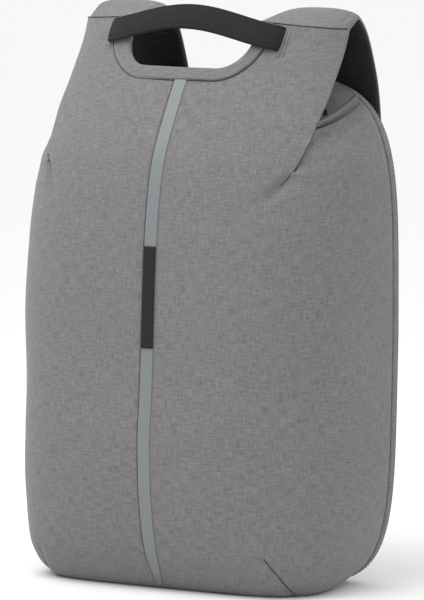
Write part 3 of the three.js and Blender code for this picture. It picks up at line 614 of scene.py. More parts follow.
def soften_side(grid, first_column):
    """Soft waves on the side, none at the zip, and the front's own edge as the first column."""
    t = np.linspace(0, 1, grid.shape[1])[None]
    y, z = grid[..., 1], grid[..., 2]
    wave = 0.9 * np.sin(z / 37 + y / 30) * np.sin(z / 61 + 1.3) + 0.4 * np.sin(z / 17 - y / 23)
    lifted = grid + grid_normals(grid) * (wave * np.sin(np.pi * t) * clamp(z / 30))[..., None]
    lifted += (first_column - lifted[:, 0])[:, None] * ((1 - t) ** 3)[..., None]
    return lifted


def resampled(points, count):
    reach = np.concatenate([[0], np.cumsum(np.linalg.norm(np.diff(points, axis=0), axis=1))])
    at = np.linspace(0, reach[-1], count)
    return np.stack([np.interp(at, reach, points[:, k]) for k in range(3)], axis=1)


def outline_run(low, high, count, y):
    z = low + (high - low) * np.sin(np.linspace(0, 1, 400) * np.pi / 2)
    return resampled(np.stack([outline_half_width(z), np.full_like(z, y), z], axis=1), count)


def fill_between(low, high, left, right, rounded=False):
    v = np.linspace(0, 1, len(left))[:, None, None]
    u = np.linspace(0, 1, len(low))[None, :, None]
    weight = np.repeat(v, 3, axis=-1)
    if rounded:
        weight = np.concatenate([1 - np.cos(v * np.pi / 2), v, np.sin(v * np.pi / 2)], axis=-1)
    across = left[:, None] * (1 - u) + right[:, None] * u
    up = low[None] * (1 - weight) + high[None] * weight
    base = low[0] * (1 - u) + low[-1] * u
    top = high[0] * (1 - u) + high[-1] * u
    return across + up - (base * (1 - weight) + top * weight)


ROOF_ROWS, ROOF_COLUMNS = 72, 46
FOLD_FRONT, FOLD_BACK = BAG_HEIGHT - 32, BAG_HEIGHT - 15


def behind_face(x, z, back):
    shift = np.stack([0 * back, back, 0 * back], axis=-1)
    return bare_face(np.asarray(x, float), np.asarray(z, float)) + shift


def fold_curve():
    front = behind_face(wing_edge(FOLD_FRONT) - TUCK_SIDE, FOLD_FRONT, np.float64(TUCK))
    back = np.array([outline_half_width(FOLD_BACK), ZIP_Y - 1.6, FOLD_BACK])
    middle = (front + back) / 2 + np.array([TUCK_SIDE, 0, -3.0])
    t = np.linspace(0, 1, 60)[:, None]
    return resampled((1 - t) ** 2 * front + 2 * t * (1 - t) * middle + t * t * back, SIDE_COLUMNS)


def shoulder_patch(side_top):
    t = np.linspace(0, 1, ROOF_ROWS)
    z = DART_HEIGHT + (FOLD_FRONT - DART_HEIGHT) * t
    hidden = np.minimum(1, t * 4)
    tuck = behind_face(wing_edge(z) - TUCK_SIDE * hidden, z, TUCK * hidden)
    rise = outline_run(DART_HEIGHT, FOLD_BACK, ROOF_ROWS, ZIP_Y - 1.6)
    fold = fold_curve()
    tuck[0], tuck[-1], rise[0], rise[-1] = side_top[0], fold[0], side_top[-1], fold[-1]
    grid = fill_between(side_top, fold, tuck, rise, rounded=True)
    u, v = np.linspace(0, 1, SIDE_COLUMNS)[None], t[:, None]
    pinch = 2.0 * bell(v - 0.8, 0.12) * np.sin(np.pi * clamp(u * 1.1)) ** 0.6
    pinch += 9.0 * bell(v - 0.94, 0.03) * clamp(1 - u) ** 0.6
    pinch += 2.0 * bell(u - 0.1 - 0.9 * (0.9 - v), 0.05) * bell(v - 0.78, 0.1)
    ripple = 0.9 * np.sin(9 * v + 5 * u) * np.sin(np.pi * v) * np.sin(np.pi * u)
    grid[1:-1, 1:-1] -= (grid_normals(grid) * (pinch + ripple)[..., None])[1:-1, 1:-1]
    return grid


def roof_patch():
    fold = fold_curve()
    back = outline_run(FOLD_BACK, BAG_HEIGHT, ROOF_COLUMNS, ZIP_Y - 1.6)
    back[0], back[-1] = fold[-1], (SEAM_EDGE, ZIP_Y - 1.6, BAG_HEIGHT)
    t = np.linspace(0, 1, ROOF_COLUMNS)
    x = (wing_edge(FOLD_FRONT) - TUCK_SIDE) * (1 - t) + SEAM_EDGE * t
    z = FOLD_FRONT + (BAG_HEIGHT - 9 - FOLD_FRONT) * (1 - (1 - t) ** 2)
    front = behind_face(x, z, np.full_like(x, TUCK))
    front[0] = fold[0]
    centre = front[-1] + (back[-1] - front[-1]) * np.linspace(0, 1, SIDE_COLUMNS)[:, None]
    centre[:, 2] -= 6 * np.sin(np.pi * np.linspace(0, 1, SIDE_COLUMNS))
    grid = fill_between(fold, centre, front, back)
    u, v = np.linspace(0, 1, SIDE_COLUMNS)[None], t[:, None]
    sag = 1.4 * np.sin(7 * v + 3 * u) * np.sin(np.pi * v) * np.sin(np.pi * u)
    pocket = 15 * bell(v - 0.2, 0.13) * (1 - u) ** 0.6 * np.sin(np.pi * clamp(u * 1.2 + 0.12)) ** 0.5
    grid[..., 2] -= sag + pocket
    return grid


# %% Cut the wing around the mouth and join one half
MOUTH_COLUMNS = 14


def mouth_half(z):
    below = np.clip(MOUTH_FLOOR + MOUTH_RADIUS - z, 0, MOUTH_RADIUS)
    return MOUTH_HALF - MOUTH_RADIUS + np.sqrt(MOUTH_RADIUS**2 - below**2)


def wing_patches():
    start = SEAM_EDGE + ROLL
    corner = mouth_half(MOUTH_FLOOR)
    v = ((wing_heights - DART_HEIGHT) / (MOUTH_FLOOR - DART_HEIGHT))[:, None]
    even = front_columns(wing_heights, np.full(len(wing_heights), start), wing_edge(wing_heights),
                         FRONT_COLUMNS)
    beside = FRONT_COLUMNS - MOUTH_COLUMNS
    inner_part = np.linspace(start, corner, MOUTH_COLUMNS, endpoint=False)
    t = smooth_steps(beside, both=False)
    split_row = np.concatenate([inner_part, corner + (wing_edge(MOUTH_FLOOR) - corner) * t])
    blend = eased(v)
    edge = wing_edge(wing_heights)[:, None]
    target = split_row[None] * np.ones_like(v)
    target[:, MOUTH_COLUMNS:] = corner + (edge - corner) * t[None]
    x = even * (1 - blend) + target * blend
    x = np.concatenate([np.repeat(SEAM_EDGE + seam_columns[None, :3], len(wing_heights), axis=0), x], axis=1)
    z = np.repeat(wing_heights[:, None], x.shape[1], axis=1)
    lower = on_face(x, z, seam_roll(x))
    rows = np.linspace(0, 1, 20)[:, None]
    inner = mouth_half(MOUTH_FLOOR + rows * (seam_height(MOUTH_HALF) - MOUTH_FLOOR))
    outer = wing_edge(MOUTH_FLOOR + rows * (WING_TOP - MOUTH_FLOOR))
    x = inner + (outer - inner) * t[None]
    z = MOUTH_FLOOR + rows * (seam_height(x) - MOUTH_FLOOR)
    return lower, on_face(x, z)


def blend_rows(lower, upper, reach=9, passes=30):
    """Eases the change of slope between two patches of cloth, away from the wing and the zip."""
    band = np.concatenate([lower[-reach:], upper[1:reach]])
    across = np.linspace(0, 1, band.shape[1])
    share = (clamp(across / 0.3) * clamp((1 - across) / 0.15))[None, :, None]
    for _ in range(passes):
        mean = (band[:-2] + 2 * band[1:-1] + band[2:]) / 4
        band[1:-1] += (mean - band[1:-1]) * share
    lower, upper = lower.copy(), upper.copy()
    lower[-reach:] = band[:reach]
    upper[0] = lower[-1]
    upper[1:reach] = band[reach:]
    return lower, upper


def half_shell():
    front = front_patch(lower_heights, wing_edge(lower_heights))
    lower_wing, upper_wing = wing_patches()
    side = soften_side(side_patch(lower_heights), front[:, -1])
    shoulder = shoulder_patch(side[-1])
    side, shoulder = blend_rows(side, shoulder)
    radius = HEM * clamp((np.concatenate([lower_wing[:, -1, 2], upper_wing[:, -1, 2]]) - DART_HEIGHT) / 7)
    hem_low = hemmed(lower_wing, radius[: len(lower_wing), None])
    hem_high = hemmed(upper_wing, radius[len(lower_wing):, None])
    hem_high[0, upper_wing.shape[1]:] = hem_low[-1, lower_wing.shape[1]:]
    zip_side = hemmed(side, 0.7, 4.0)
    return [centre_allowance(front), centre_allowance(hem_low), hem_high, zip_side, shoulder, roof_patch()]


for shell in make_pair("front_cloth", half_shell(), MELANGE, "grey_melange", "shell", thickness=0.9):
    print(shell.name, len(shell.data.polygons), "faces")

# %% [markdown]
# ## Linings and thread
# Behind each wing lies a black lining, cut a little smaller so that the hem covers its edge. Threads are
# tiny spindles laid in a row: a texture of dashes would not catch the light, and a curve with an array
# would slide off the doubly curved cloth.

# %% Wing linings
lining_rows = np.linspace(0, 1, 24)[:, None]
lining_steps = np.linspace(0, 1, 40)[None]
lining_low = BAG_HEIGHT + 1.0


def wing_lining():
    z_nominal = lining_low + lining_rows * (seam_height(MOUTH_HALF) - lining_low)
    open_half = np.where(z_nominal < MOUTH_FLOOR, 0.6, mouth_half(z_nominal) + 0.4)
    outer = wing_edge(z_nominal) - 1.6
    x = open_half + (outer - open_half) * lining_steps
    z = lining_low + lining_rows * (seam_height(x) - 0.5 - lining_low)
    corner_x, corner_z = MOUTH_HALF - MOUTH_RADIUS, MOUTH_FLOOR + MOUTH_RADIUS
    inside = np.hypot(np.maximum(0, x - corner_x), corner_z - z) < MOUTH_RADIUS - 0.4
    over_mouth = (z > MOUTH_FLOOR - 0.4) & (x < MOUTH_HALF) & ((z > corner_z) | inside)
    z = np.where(over_mouth & (x < corner_x), MOUTH_FLOOR - 0.4, z)
    return on_face(x, z, -2.6)


for lining in make_pair("wing_lining_cloth", [wing_lining()], LINING, "black_lining", "wing_lining",
                        thickness=1.8):
    print(lining.name, len(lining.data.polygons), "faces")


# %% Rows of stitches and thin seam lines
def tube_grid(path, radius, sides=6, radii=None):
    tangent = np.gradient(path, axis=0)
    tangent = unit(tangent)
    helper = np.where(np.abs(tangent[:, 2:3]) < 0.8, [[0.0, 0.0, 1.0]], [[1.0, 0.0, 0.0]])
    right = np.cross(tangent, helper)
    right = unit(right)
    up = np.cross(right, tangent)
    angle = np.linspace(0, 2 * np.pi, sides + 1)[None, :, None]
    size = radius * (np.ones(len(path)) if radii is None else radii)[:, None, None]
    return path[:, None] + size * (np.cos(angle) * right[:, None] + np.sin(angle) * up[:, None])


def stitches(name, runs, material, slot, pitch=3.4, length=2.4, radius=0.28):
    """One mesh of small spindles along each run, which is a path that lies on the cloth."""
    grids = []
    for run in runs:
        reach = np.linalg.norm(np.diff(run, axis=0), axis=1).sum()
        count = max(2, int(reach / pitch))
        fine = resampled(run, count * 8 + 1)
        span = max(3, int(round(8 * length / pitch)))
        for i in range(count):
            path = fine[i * 8: i * 8 + span]
            swell = np.sqrt(np.clip(1 - np.linspace(-1, 1, len(path)) ** 2, 0.02, 1))
            grids.append(tube_grid(path, radius, 5, swell))
    return make_piece(name, grids, material, slot, merge=0.001)


# Thin tubes along a seam: in the dark material they paint the shade of the seam's groove, in grey cloth they
# make the fold's piping
def seam_line(name, runs, radius, material, slot):
    return make_piece(name, [tube_grid(run, radius) for run in runs], material, slot, merge=0.001)


def thread_pair(draw, name, runs, *recipe):
    """Stitches or seam lines on the right and on the left."""
    for side_name, flip in SIDES.items():
        draw(f"{name}_{side_name}", [run * np.array([flip, 1.0, 1.0]) for run in runs], *recipe)


# %% [markdown]
# ## The facing round the mouth
# The hand reaches the handle through a U-shaped mouth, faced with a band of the same grey cloth. Cutting a
# hole with a boolean gives a raw edge. The band is swept along the U instead, with a profile that starts
# behind the cloth, rolls over the edge and lies flat, and it grows wider where it runs under the handle's
# ends.

# %% Sweep the facing along the U
FACING_PROFILE = [(0.10, -4.2), (-0.02, -3.4), (-0.12, -2.2), (-0.15, -1.0), (-0.11, 0.2), (0.0, 1.0),
                  (0.16, 1.35), (0.45, 1.3), (0.75, 1.25), (0.9, 1.05), (0.97, 0.5), (1.0, -0.3)]


def mouth_path(count):
    """Points (x, z) on the mouth's edge from the top left round to the top right, and outward directions."""
    top = seam_height(MOUTH_HALF) - 0.2
    straight = np.linspace(top, MOUTH_FLOOR + MOUTH_RADIUS, 8)[:-1]
    angle = np.linspace(np.pi, 1.5 * np.pi, 24)
    centre = (-MOUTH_HALF + MOUTH_RADIUS, MOUTH_FLOOR + MOUTH_RADIUS)
    left = [(-MOUTH_HALF, z) for z in straight]
    left += [(centre[0] + MOUTH_RADIUS * math.cos(a), centre[1] + MOUTH_RADIUS * math.sin(a)) for a in angle]
    loop = np.array(left + [(-x, z) for x, z in reversed(left)])
    points = resampled(np.stack([loop[:, 0], 0 * loop[:, 0], loop[:, 1]], axis=1), count)[:, [0, 2]]
    run = np.gradient(points, axis=0)
    run = unit(run)
    return points, np.stack([run[:, 1], -run[:, 0]], axis=1)


FACING_LEAST, FACING_RISE = 8.2, 34.0
FACING_SEAM_TOP = 424


def facing_width(x, z):
    """Much wider at the left end of the handle than at the right, as the photograph shows."""
    rise = clamp((z - (MOUTH_FLOOR - 3)) / FACING_RISE)
    return np.where(x < 0, FACING_LEAST + 11 * eased(rise), 7.8 + 3 * rise)


edge_points, edge_out = mouth_path(150)
widths = facing_width(edge_points[:, 0], edge_points[:, 1])


def beside_mouth(across, out):
    x = edge_points[:, 0] + edge_out[:, 0] * across
    z = edge_points[:, 1] + edge_out[:, 1] * across
    return on_face(x, np.minimum(z, seam_height(x) - 0.3), out)


facing_rows = []
for share, out in FACING_PROFILE:
    reach = FACING_LEAST if share < 0.5 else widths
    facing_rows.append(beside_mouth(reach * share, out))
facing_grid = np.stack(facing_rows, axis=1)
make_piece("mouth_facing", [facing_grid], MELANGE, "grey_melange", ["mouth_rim"])
low_part = edge_points[:, 1] < FACING_SEAM_TOP
# A dark tube beside the facing's outer edge paints the shade of the step where the facing meets the front
seam_line("mouth_facing_seam_shade", [beside_mouth(widths + 0.5, 0.25)[low_part]], 0.5, DARK_THREAD_AND_SEAM_SHADE,
          "grey_melange")
stitches("mouth_facing_stitches", [beside_mouth(widths - 1.9, 1.35)[low_part]], PALE_THREAD, "grey_melange",
         2.8, 1.9, 0.26)
print("facing:", facing_grid.shape, "grid, mouth", 2 * MOUTH_HALF, "mm wide")

# %% [markdown]
# ## The reflective strip and its label
# A flat tape is sewn beside the centre seam, and a bare woven label lies over it. The tape narrows to
# nothing near the floor, where the seam curves away under it. Both are thin slabs with soft edges that lie
# on the cloth.

# %% Strip and label
STRIP_LEFT, STRIP_WIDE, STRIP_TOP = 0.4, 11.0, 393.0
EDGE_SHARES = np.array([0.0, 0.0, 0.03, 0.1, 0.3, 0.5, 0.7, 0.9, 0.97, 1.0, 1.0])
STRIP_FOOT, STRIP_TAPER = 3.0, 42.0
LABEL_LOW, LABEL_HIGH = 190, 268


def tape_on_front(heights, left, right, seat, thick):
    """A thin slab on the front; its edges go down to the seat."""
    rise = np.array([-0.3, 0.5, 0.9, 1, 1, 1, 1, 1, 0.9, 0.5, -0.3]) * thick + seat
    x = left[:, None] + (right - left)[:, None] * EDGE_SHARES[None]
    z = np.repeat(heights[:, None], x.shape[1], axis=1)
    return on_face(x, z, rise[None])


strip_heights = STRIP_FOOT + (STRIP_TOP - STRIP_FOOT) * (1 - np.cos(np.linspace(0, 1, 160) * np.pi / 2))
tip = clamp((strip_heights - STRIP_FOOT) / STRIP_TAPER)
strip_right = STRIP_LEFT + 0.15 + (STRIP_WIDE - 0.15) * np.sqrt(tip * (2 - tip))
strip_grid = tape_on_front(strip_heights, np.full(160, STRIP_LEFT), strip_right, 0.25, 0.55)
strip = make_piece("reflective_tape", [strip_grid], TAPE, "reflective_tape", ["reflective_strip"])
seam_heights = np.linspace(2.5, STRIP_TOP, 200)
# A dark tube at the bottom of the rolled centre seam paints the groove's shade
seam_line("centre_seam_shade", [on_face(np.full(200, -0.25), seam_heights, -0.5)], 0.6, DARK_THREAD_AND_SEAM_SHADE,
          "grey_melange")
label_heights = np.linspace(LABEL_LOW, LABEL_HIGH, 40)
label_grid = tape_on_front(label_heights, np.full(40, STRIP_LEFT), np.full(40, STRIP_LEFT + STRIP_WIDE),
                           0.9, 1.0)
label_ends = [label_grid[:1] + np.array([0, 0.9, 0]), label_grid, label_grid[-1:] + np.array([0, 0.9, 0])]
label = make_piece("woven_label", [np.concatenate(label_ends)], LABEL, "black_label", ["label"])
print("strip", len(strip.data.polygons), "faces; label", len(label.data.polygons), "faces")

# %% [markdown]
# ## The handle
# A padded band arches over the mouth and its ends are tucked into slits in the wings. The band is a slab
# whose section is crowned between two pressed edge lines, laid along the same arch as the solid.

# %% Padded bands between two depths
def smooth_curve(points, steps):
    """Centripetal curve through points, the same number of steps in each span, as the solids use."""
    p = np.concatenate([[2 * points[0] - points[1]], points, [2 * points[-1] - points[-2]]])
    curve = []
    for i in range(1, len(p) - 2):
        d = [max(np.linalg.norm(p[i + k] - p[i + k - 1]) ** 0.5, 1e-4) for k in range(3)]
        before, here, after = p[i] - p[i - 1], p[i + 1] - p[i], p[i + 2] - p[i + 1]
        t1 = (before / d[0] - (p[i + 1] - p[i - 1]) / (d[0] + d[1]) + here / d[1]) * d[1]
        t2 = (here / d[1] - (p[i + 2] - p[i]) / (d[1] + d[2]) + after / d[2]) * d[1]
        t = np.linspace(0, 1, steps + 1)[:, None]
        span = p[i] + t1 * t + (3 * here - 2 * t1 - t2) * t**2 + (t1 + t2 - 2 * here) * t**3
        curve.append(span if i == 1 else span[1:])
    return np.concatenate(curve)


def closed_band(grid, near, far, cap=1.0):
    """A closed body between two depths behind a grid; the section runs round and the ends are rounded."""
    normal = grid_normals(grid)
    front = grid - normal * near[..., None]
    rear = grid - normal * far[..., None]
    core = (front + rear) / 2
    ring = np.concatenate([front, rear[:, ::-1], front[:, :1]], axis=1)
    middle = np.concatenate([core, core[:, ::-1], core[:, :1]], axis=1)

    def end(row, inner):
        outwards = ring[row] - ring[inner]
        outwards = unit(outwards)
        steps = ((0.0, 1.0), (0.6, 0.85), (0.9, 0.4))
        return [middle[row] * (1 - s) + ring[row] * s + outwards * cap * o for s, o in steps]

    first = end(0, 1)
    last = end(-1, -2)[::-1]
    return np.concatenate([np.stack(first), ring, np.stack(last)])


def edge_roll(u, share):
    """0 at the edges of a band, 1 inside, rising as a quarter circle."""
    r = clamp(np.minimum(u, 1 - u) / share)
    return np.sqrt(1 - (1 - r) ** 2)


# %% The handle
HANDLE_REACH, HANDLE_THICK, HANDLE_BAND = 79.5, 5.0, 21.0
LEFT_SHORTER = 3.0


def handle_height(x):
    return BAG_HEIGHT + 31 + 13.5 * np.cos(np.clip(x / 78, -1, 1) * np.pi / 2) ** 1.5


def handle_grid():
    x = np.linspace(LEFT_SHORTER - HANDLE_REACH, HANDLE_REACH, 110)[:, None]
    u = smooth_steps(26)[None]
    free = MOUTH_HALF - 8
    held = np.maximum(np.abs(x), free)
    lean = np.clip(x / free, -1, 1)
    height = handle_height(held)
    z = height + HANDLE_BAND * 0.43 * (1 - 2 * u)
    sink = clamp((np.abs(x) - 62) / 16)
    seat = 1.5 - 1.2 * sink - 4.5 * clamp((np.abs(x) - 74) / 5.5) ** 2
    held_all, z_all = np.broadcast_arrays(held, z)
    out = face_normal(held_all, z_all) * (seat + HANDLE_THICK)[..., None]
    place = bare_face(held_all, z_all) + out
    bow = 5 * (1 - np.clip(x / 78, -1, 1) ** 2)
    rise = handle_height(x) - height
    parts = np.broadcast_arrays(x + out[..., 0] * lean, place[..., 1] - bow, place[..., 2] + rise)
    return np.stack(parts, axis=-1), u


band, u = handle_grid()
pressed = 0.7 * bell(np.minimum(u, 1 - u) - 0.13, 0.03)
rounding = HANDLE_THICK * 0.5 * (1 - edge_roll(u, 0.12))
near = rounding + pressed + 0.5 * (1 - np.sin(np.pi * u))
far = HANDLE_THICK - rounding - 0.2
near, far = (np.broadcast_to(depth, band.shape[:2]) for depth in (near, far))
handle = make_piece("padded_handle", [closed_band(band, near, far, 0.6)], HANDLE, "handle_cloth",
                    ["top_handle"])
normal = grid_normals(band)
edge_rows = []
for share in (0.13, 0.87):
    column = int(np.argmin(np.abs(u[0] - share)))
    edge_rows.append((band - normal * (near - 0.12)[..., None])[6:-6, column])
stitches("handle_edge_stitches", edge_rows, DARK_THREAD_AND_SEAM_SHADE, "handle_cloth", 2.6, 1.9, 0.22)
print("handle", len(handle.data.polygons), "faces")

# %% Slits that the handle's ends go into
slit_lines = []
for side in (-1, 1):
    for place, width, proud in ((79.4, 1.6, 1.0), (82.6, 1.0, 0.5)):
        z = np.linspace(412.5, 431.0, 24)
        x = side * (place + 1.2 * (z - 425) / 25) + (LEFT_SHORTER if side < 0 else 0)
        slit_lines.append((on_face(x, z, proud * 0.4), width * 0.5))
slit_grids = [tube_grid(line, radius) for line, radius in slit_lines]
slit_edges = make_piece("handle_slit_edges", slit_grids, MELANGE, "grey_melange", merge=0.001)
print("slit edges", len(slit_edges.data.polygons), "faces")

# %% [markdown]
# ## Shoulder straps
# Each wing goes on over the shoulder as a padded strap: grey cloth outside, black mesh over foam inside. A
# curve with a bevel would be round, so the strap is a grid on the solid's own route, crowned at the crest.
# The cloth wraps round the edges of the foam, and two rows of stitches follow them.

# %% The strap's outer face
STRAP_BACK, STRAP_ABOVE, STRAP_WIDTH, STRAP_CENTRE = 25.6, 53.5, 68.0, 87.0
STRAP_ROUTE = [(-0.34, 1), (-0.11, 0.925), (0.14, 0.77), (0.36, 0.56), (0.55, 0.32), (0.7, 0.1),
               (0.83, -0.13), (0.945, -0.48), (1, -0.85)]
STRAP_END, STRAP_COLUMNS = 128.0, 34


def strap_face():
    top = BAG_HEIGHT + STRAP_ROUTE[-1][1] * STRAP_ABOVE
    columns = []
    for u in smooth_steps(STRAP_COLUMNS):
        side = 2 * u - 1
        x = STRAP_CENTRE + side * STRAP_WIDTH / 2
        crown = 5.0 * abs(side) ** 3.2

        def place(y, z, crown_share=0.0):
            fall = clamp((top - z) / (top - STRAP_END))
            half = STRAP_WIDTH / 2 - 10 * fall**2
            return np.array([STRAP_CENTRE + 8 * fall**2 + side * half, ZIP_Y + y, z - crown * crown_share])

        shares = [1.0, 0.9, 0.75, 0.6, 0.45, 0.3, 0.2, 0.1, 0.0]
        over = [place(b * STRAP_BACK, BAG_HEIGHT + a * STRAP_ABOVE, s) for (b, a),
                s in zip(STRAP_ROUTE, shares)]
        down = [place(STRAP_BACK, z) for z in np.linspace(top, STRAP_END, 6)[1:]]
        start = on_face(x, seam_height(x) + 0.2)
        columns.append(smooth_curve(np.array([start, *over, *down]), 10))
    return np.stack(columns, axis=1)


strap = strap_face()
strap_u = np.broadcast_to(smooth_steps(STRAP_COLUMNS)[None], strap.shape[:2])
rolled = edge_roll(strap_u, 0.06)
crown_in = 0.7 * (1 - np.sin(np.pi * strap_u) ** 0.5)
cover_near = 2.2 * (1 - rolled) + crown_in
cover_far = np.full_like(cover_near, 3.4)
pad_rolled = edge_roll(strap_u, 0.2)
pad_near = np.full_like(cover_near, 3.0)
pad_far = 3.4 + 4.9 * (0.35 + 0.65 * pad_rolled) + 0.25 * np.sin(np.arange(len(strap)) / 4.0)[:, None]
spine = strap[:, STRAP_COLUMNS // 2][:, None]
inset = (strap - spine) * 0.985 + spine
cover_grid = closed_band(strap, cover_near, cover_far, 0.8)
pad_grid = closed_band(inset[1:], pad_near[1:], pad_far[1:], 1.4)
strap_normal = grid_normals(strap)


def strap_line(across, rows, lift):
    """A path along the strap at a distance in mm from its middle, standing lift over the cover."""
    side = np.interp(across, [-STRAP_WIDTH / 2, STRAP_WIDTH / 2], [0, 1])
    reach = smooth_steps(STRAP_COLUMNS)
    raised = strap - strap_normal * (cover_near - lift)[..., None]
    return np.array([[np.interp(side, reach, raised[row, :, k]) for k in range(3)] for row in range(*rows)])


last_row = len(strap) - 1
topstitch = [strap_line(side * 26.5, (3, last_row), 0.05) for side in (-1, 1)]
seam_row = [(strap - strap_normal * (cover_near - 0.1)[..., None])[3, 2:-2]]
make_pair("strap_cloth", [cover_grid], MELANGE, "grey_melange", "strap_cover")
for pad in make_pair("strap_padding", [pad_grid], STRAP_MESH, "black_mesh", "strap_pad"):
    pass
thread_pair(stitches, "strap_topstitch", topstitch, DARK_THREAD_AND_SEAM_SHADE, "grey_melange", 3.2, 2.4, 0.24)
thread_pair(stitches, "strap_seam_stitches", seam_row, PALE_THREAD, "grey_melange", 3.0, 2.0, 0.26)
# A dark tube along the seam between wing and strap paints the shade in its narrow gap
seam_x = np.linspace(MOUTH_HALF + 0.8, wing_edge(WING_TOP) - 0.8, 60)
seam_run = on_face(seam_x, seam_height(seam_x) + 0.1, 0.1)
thread_pair(seam_line, "wing_seam", [seam_run], 0.45, DARK_THREAD_AND_SEAM_SHADE, "grey_melange")
print("strap grid", strap.shape, "padding up to", round(float(pad_far.max()), 1), "mm deep")

# %% [markdown]
# ## Border, concealed zip and base
# The main zip runs round the back edge in a narrow gap, so that nobody behind the wearer can open it. Rings
# on the back's outline make the cloth border, the tape and its row of teeth; a bevelled curve could not
# hold the flat section of the border. The base is its own panel with a soft edge.

# %% Rings on the back outline
RING_POINTS = 260


def outline_ring(inset, y, count=RING_POINTS):
    upper = outline_run(BAG_HEIGHT / 2, BAG_HEIGHT, 200, 0)[::-1]
    lower_z = BAG_HEIGHT / 2 - (BAG_HEIGHT / 2 - 0.5) * np.sin(np.linspace(0, 1, 400) * np.pi / 2)
    lower = np.stack([outline_half_width(lower_z), 0 * lower_z, lower_z], axis=1)
    corner = lower[-1, 0]
    base = np.stack([np.linspace(corner, 0, 30), np.zeros(30), np.full(30, 0.5)], axis=1)
    right = resampled(np.concatenate([upper, lower[1:], base[1:]]), count // 2 + 1)
    loop = np.concatenate([right, (right[1:-1] * np.array([-1, 1, 1]))[::-1]])
    run = np.roll(loop, -1, axis=0) - np.roll(loop, 1, axis=0)
    run = unit(run)
    ring = loop + np.stack([run[:, 2] * inset, 0 * inset + np.full(len(loop), y), -run[:, 0] * inset],
                           axis=1)
    return np.concatenate([ring, ring[:1]])


border_profile = [(3.2, 0.9), (1.6, 0.7), (0.7, 0.9), (0.15, 1.6), (0.0, 2.8), (0.0, 4.5), (0.3, 6.5),
                  (0.9, 8.5), (1.6, 10.0), (2.4, 10.8), (3.4, 11.1), (4.4, 10.7), (5.0, 9.6)]
border_grid = np.stack([outline_ring(inset, ZIP_Y + back) for inset, back in border_profile])
make_piece("border_cloth", [border_grid], MELANGE, "grey_melange", ["border_band"], thickness=0.6)
border_stitch = outline_ring(0.32, ZIP_Y + 7.2)
border_low = border_stitch[border_stitch[:, 2] > 3]
start = int(np.argmax(np.linalg.norm(np.diff(border_low, axis=0), axis=1))) + 1
border_low = np.roll(border_low[:-1], -start, axis=0)
stitches("border_stitches", [border_low], DARK_THREAD_AND_SEAM_SHADE, "grey_melange", 3.4, 2.4, 0.24)

tape_profile = [(2.6, -4.4), (2.55, -1.5), (2.5, 0.0), (2.55, 2.5), (2.7, 4.4)]
tape_grid = np.stack([outline_ring(inset, ZIP_Y + back) for inset, back in tape_profile])
make_piece("zip_tape_cloth", [tape_grid], ZIP_TAPE, "zip_tape", ["concealed_zip"], thickness=0.7)
teeth_ring = outline_ring(2.1, ZIP_Y, 1560)[:-1]
teeth_ring = teeth_ring[teeth_ring[:, 2] > 2]
teeth = []
for i, place in enumerate(teeth_ring[::2]):
    across = np.array([0.0, 0.75 if i % 2 else -0.75, 0.0])
    tooth_path = place + np.array([[-0.3], [1.2]]) * across
    teeth.append(tube_grid(resampled(tooth_path, 4), 0.42, 5, np.array([0.3, 1, 1, 0.3])))
make_piece("zip_teeth", teeth, PLASTIC, "zip_tape", merge=0.0005)
print("border ring", border_grid.shape, "with", len(teeth), "zip teeth")

# %% The base panel
base_front_x = np.linspace(0, wing_edge(0.5), 24)
base_front = on_face(base_front_x, np.full(24, 0.5), -0.8)
base_side = side_patch(np.array([0.5]))[0, 1:]
base_loop = np.concatenate([base_front, base_side])
base_loop = resampled(np.concatenate([base_loop, [[0, base_loop[-1, 1], 0.5]]]), 80)
BASE_PROFILE = [(0.0, 2.6), (0.55, 2.6), (0.93, 2.5), (0.985, 2.0), (0.993, 1.2), (0.985, 0.5), (0.96, 0.1),
                (0.5, 0.05), (0.0, 0.05)]
rows = []
for share, z in BASE_PROFILE:
    centre = np.array([0.0, 5.0, 0.0])
    row = centre + (base_loop - centre) * share
    row[:, 2] = z
    rows.append(np.concatenate([row, (row[:-1] * np.array([-1, 1, 1]))[::-1]]))
base = make_piece("base_cloth", [np.stack(rows)], MELANGE, "grey_melange", ["base_panel"])
print("base", len(base.data.polygons), "faces")

# %% [markdown]
# ## The padded back
# The wearer's side is a foam pad under mesh, sewn down round its edge, with an air channel down the middle.
# A bulging pad can be sculpted, but letting Blender's cloth blow it up gives the even, tight swelling of
# real foam under fabric. The rim is pinned as if sewn, the movement is capped, and the channel is pressed
# in afterwards.

# %% Blow up a pad with cloth simulation
def applied(piece):
    """The piece's mesh with its modifiers applied, and that mesh's points in metres."""
    graph = bpy.context.evaluated_depsgraph_get()
    mesh = bpy.data.meshes.new_from_object(piece.evaluated_get(graph))
    points = np.empty(len(mesh.vertices) * 3)
    mesh.vertices.foreach_get("co", points)
    return mesh, points.reshape(-1, 3)


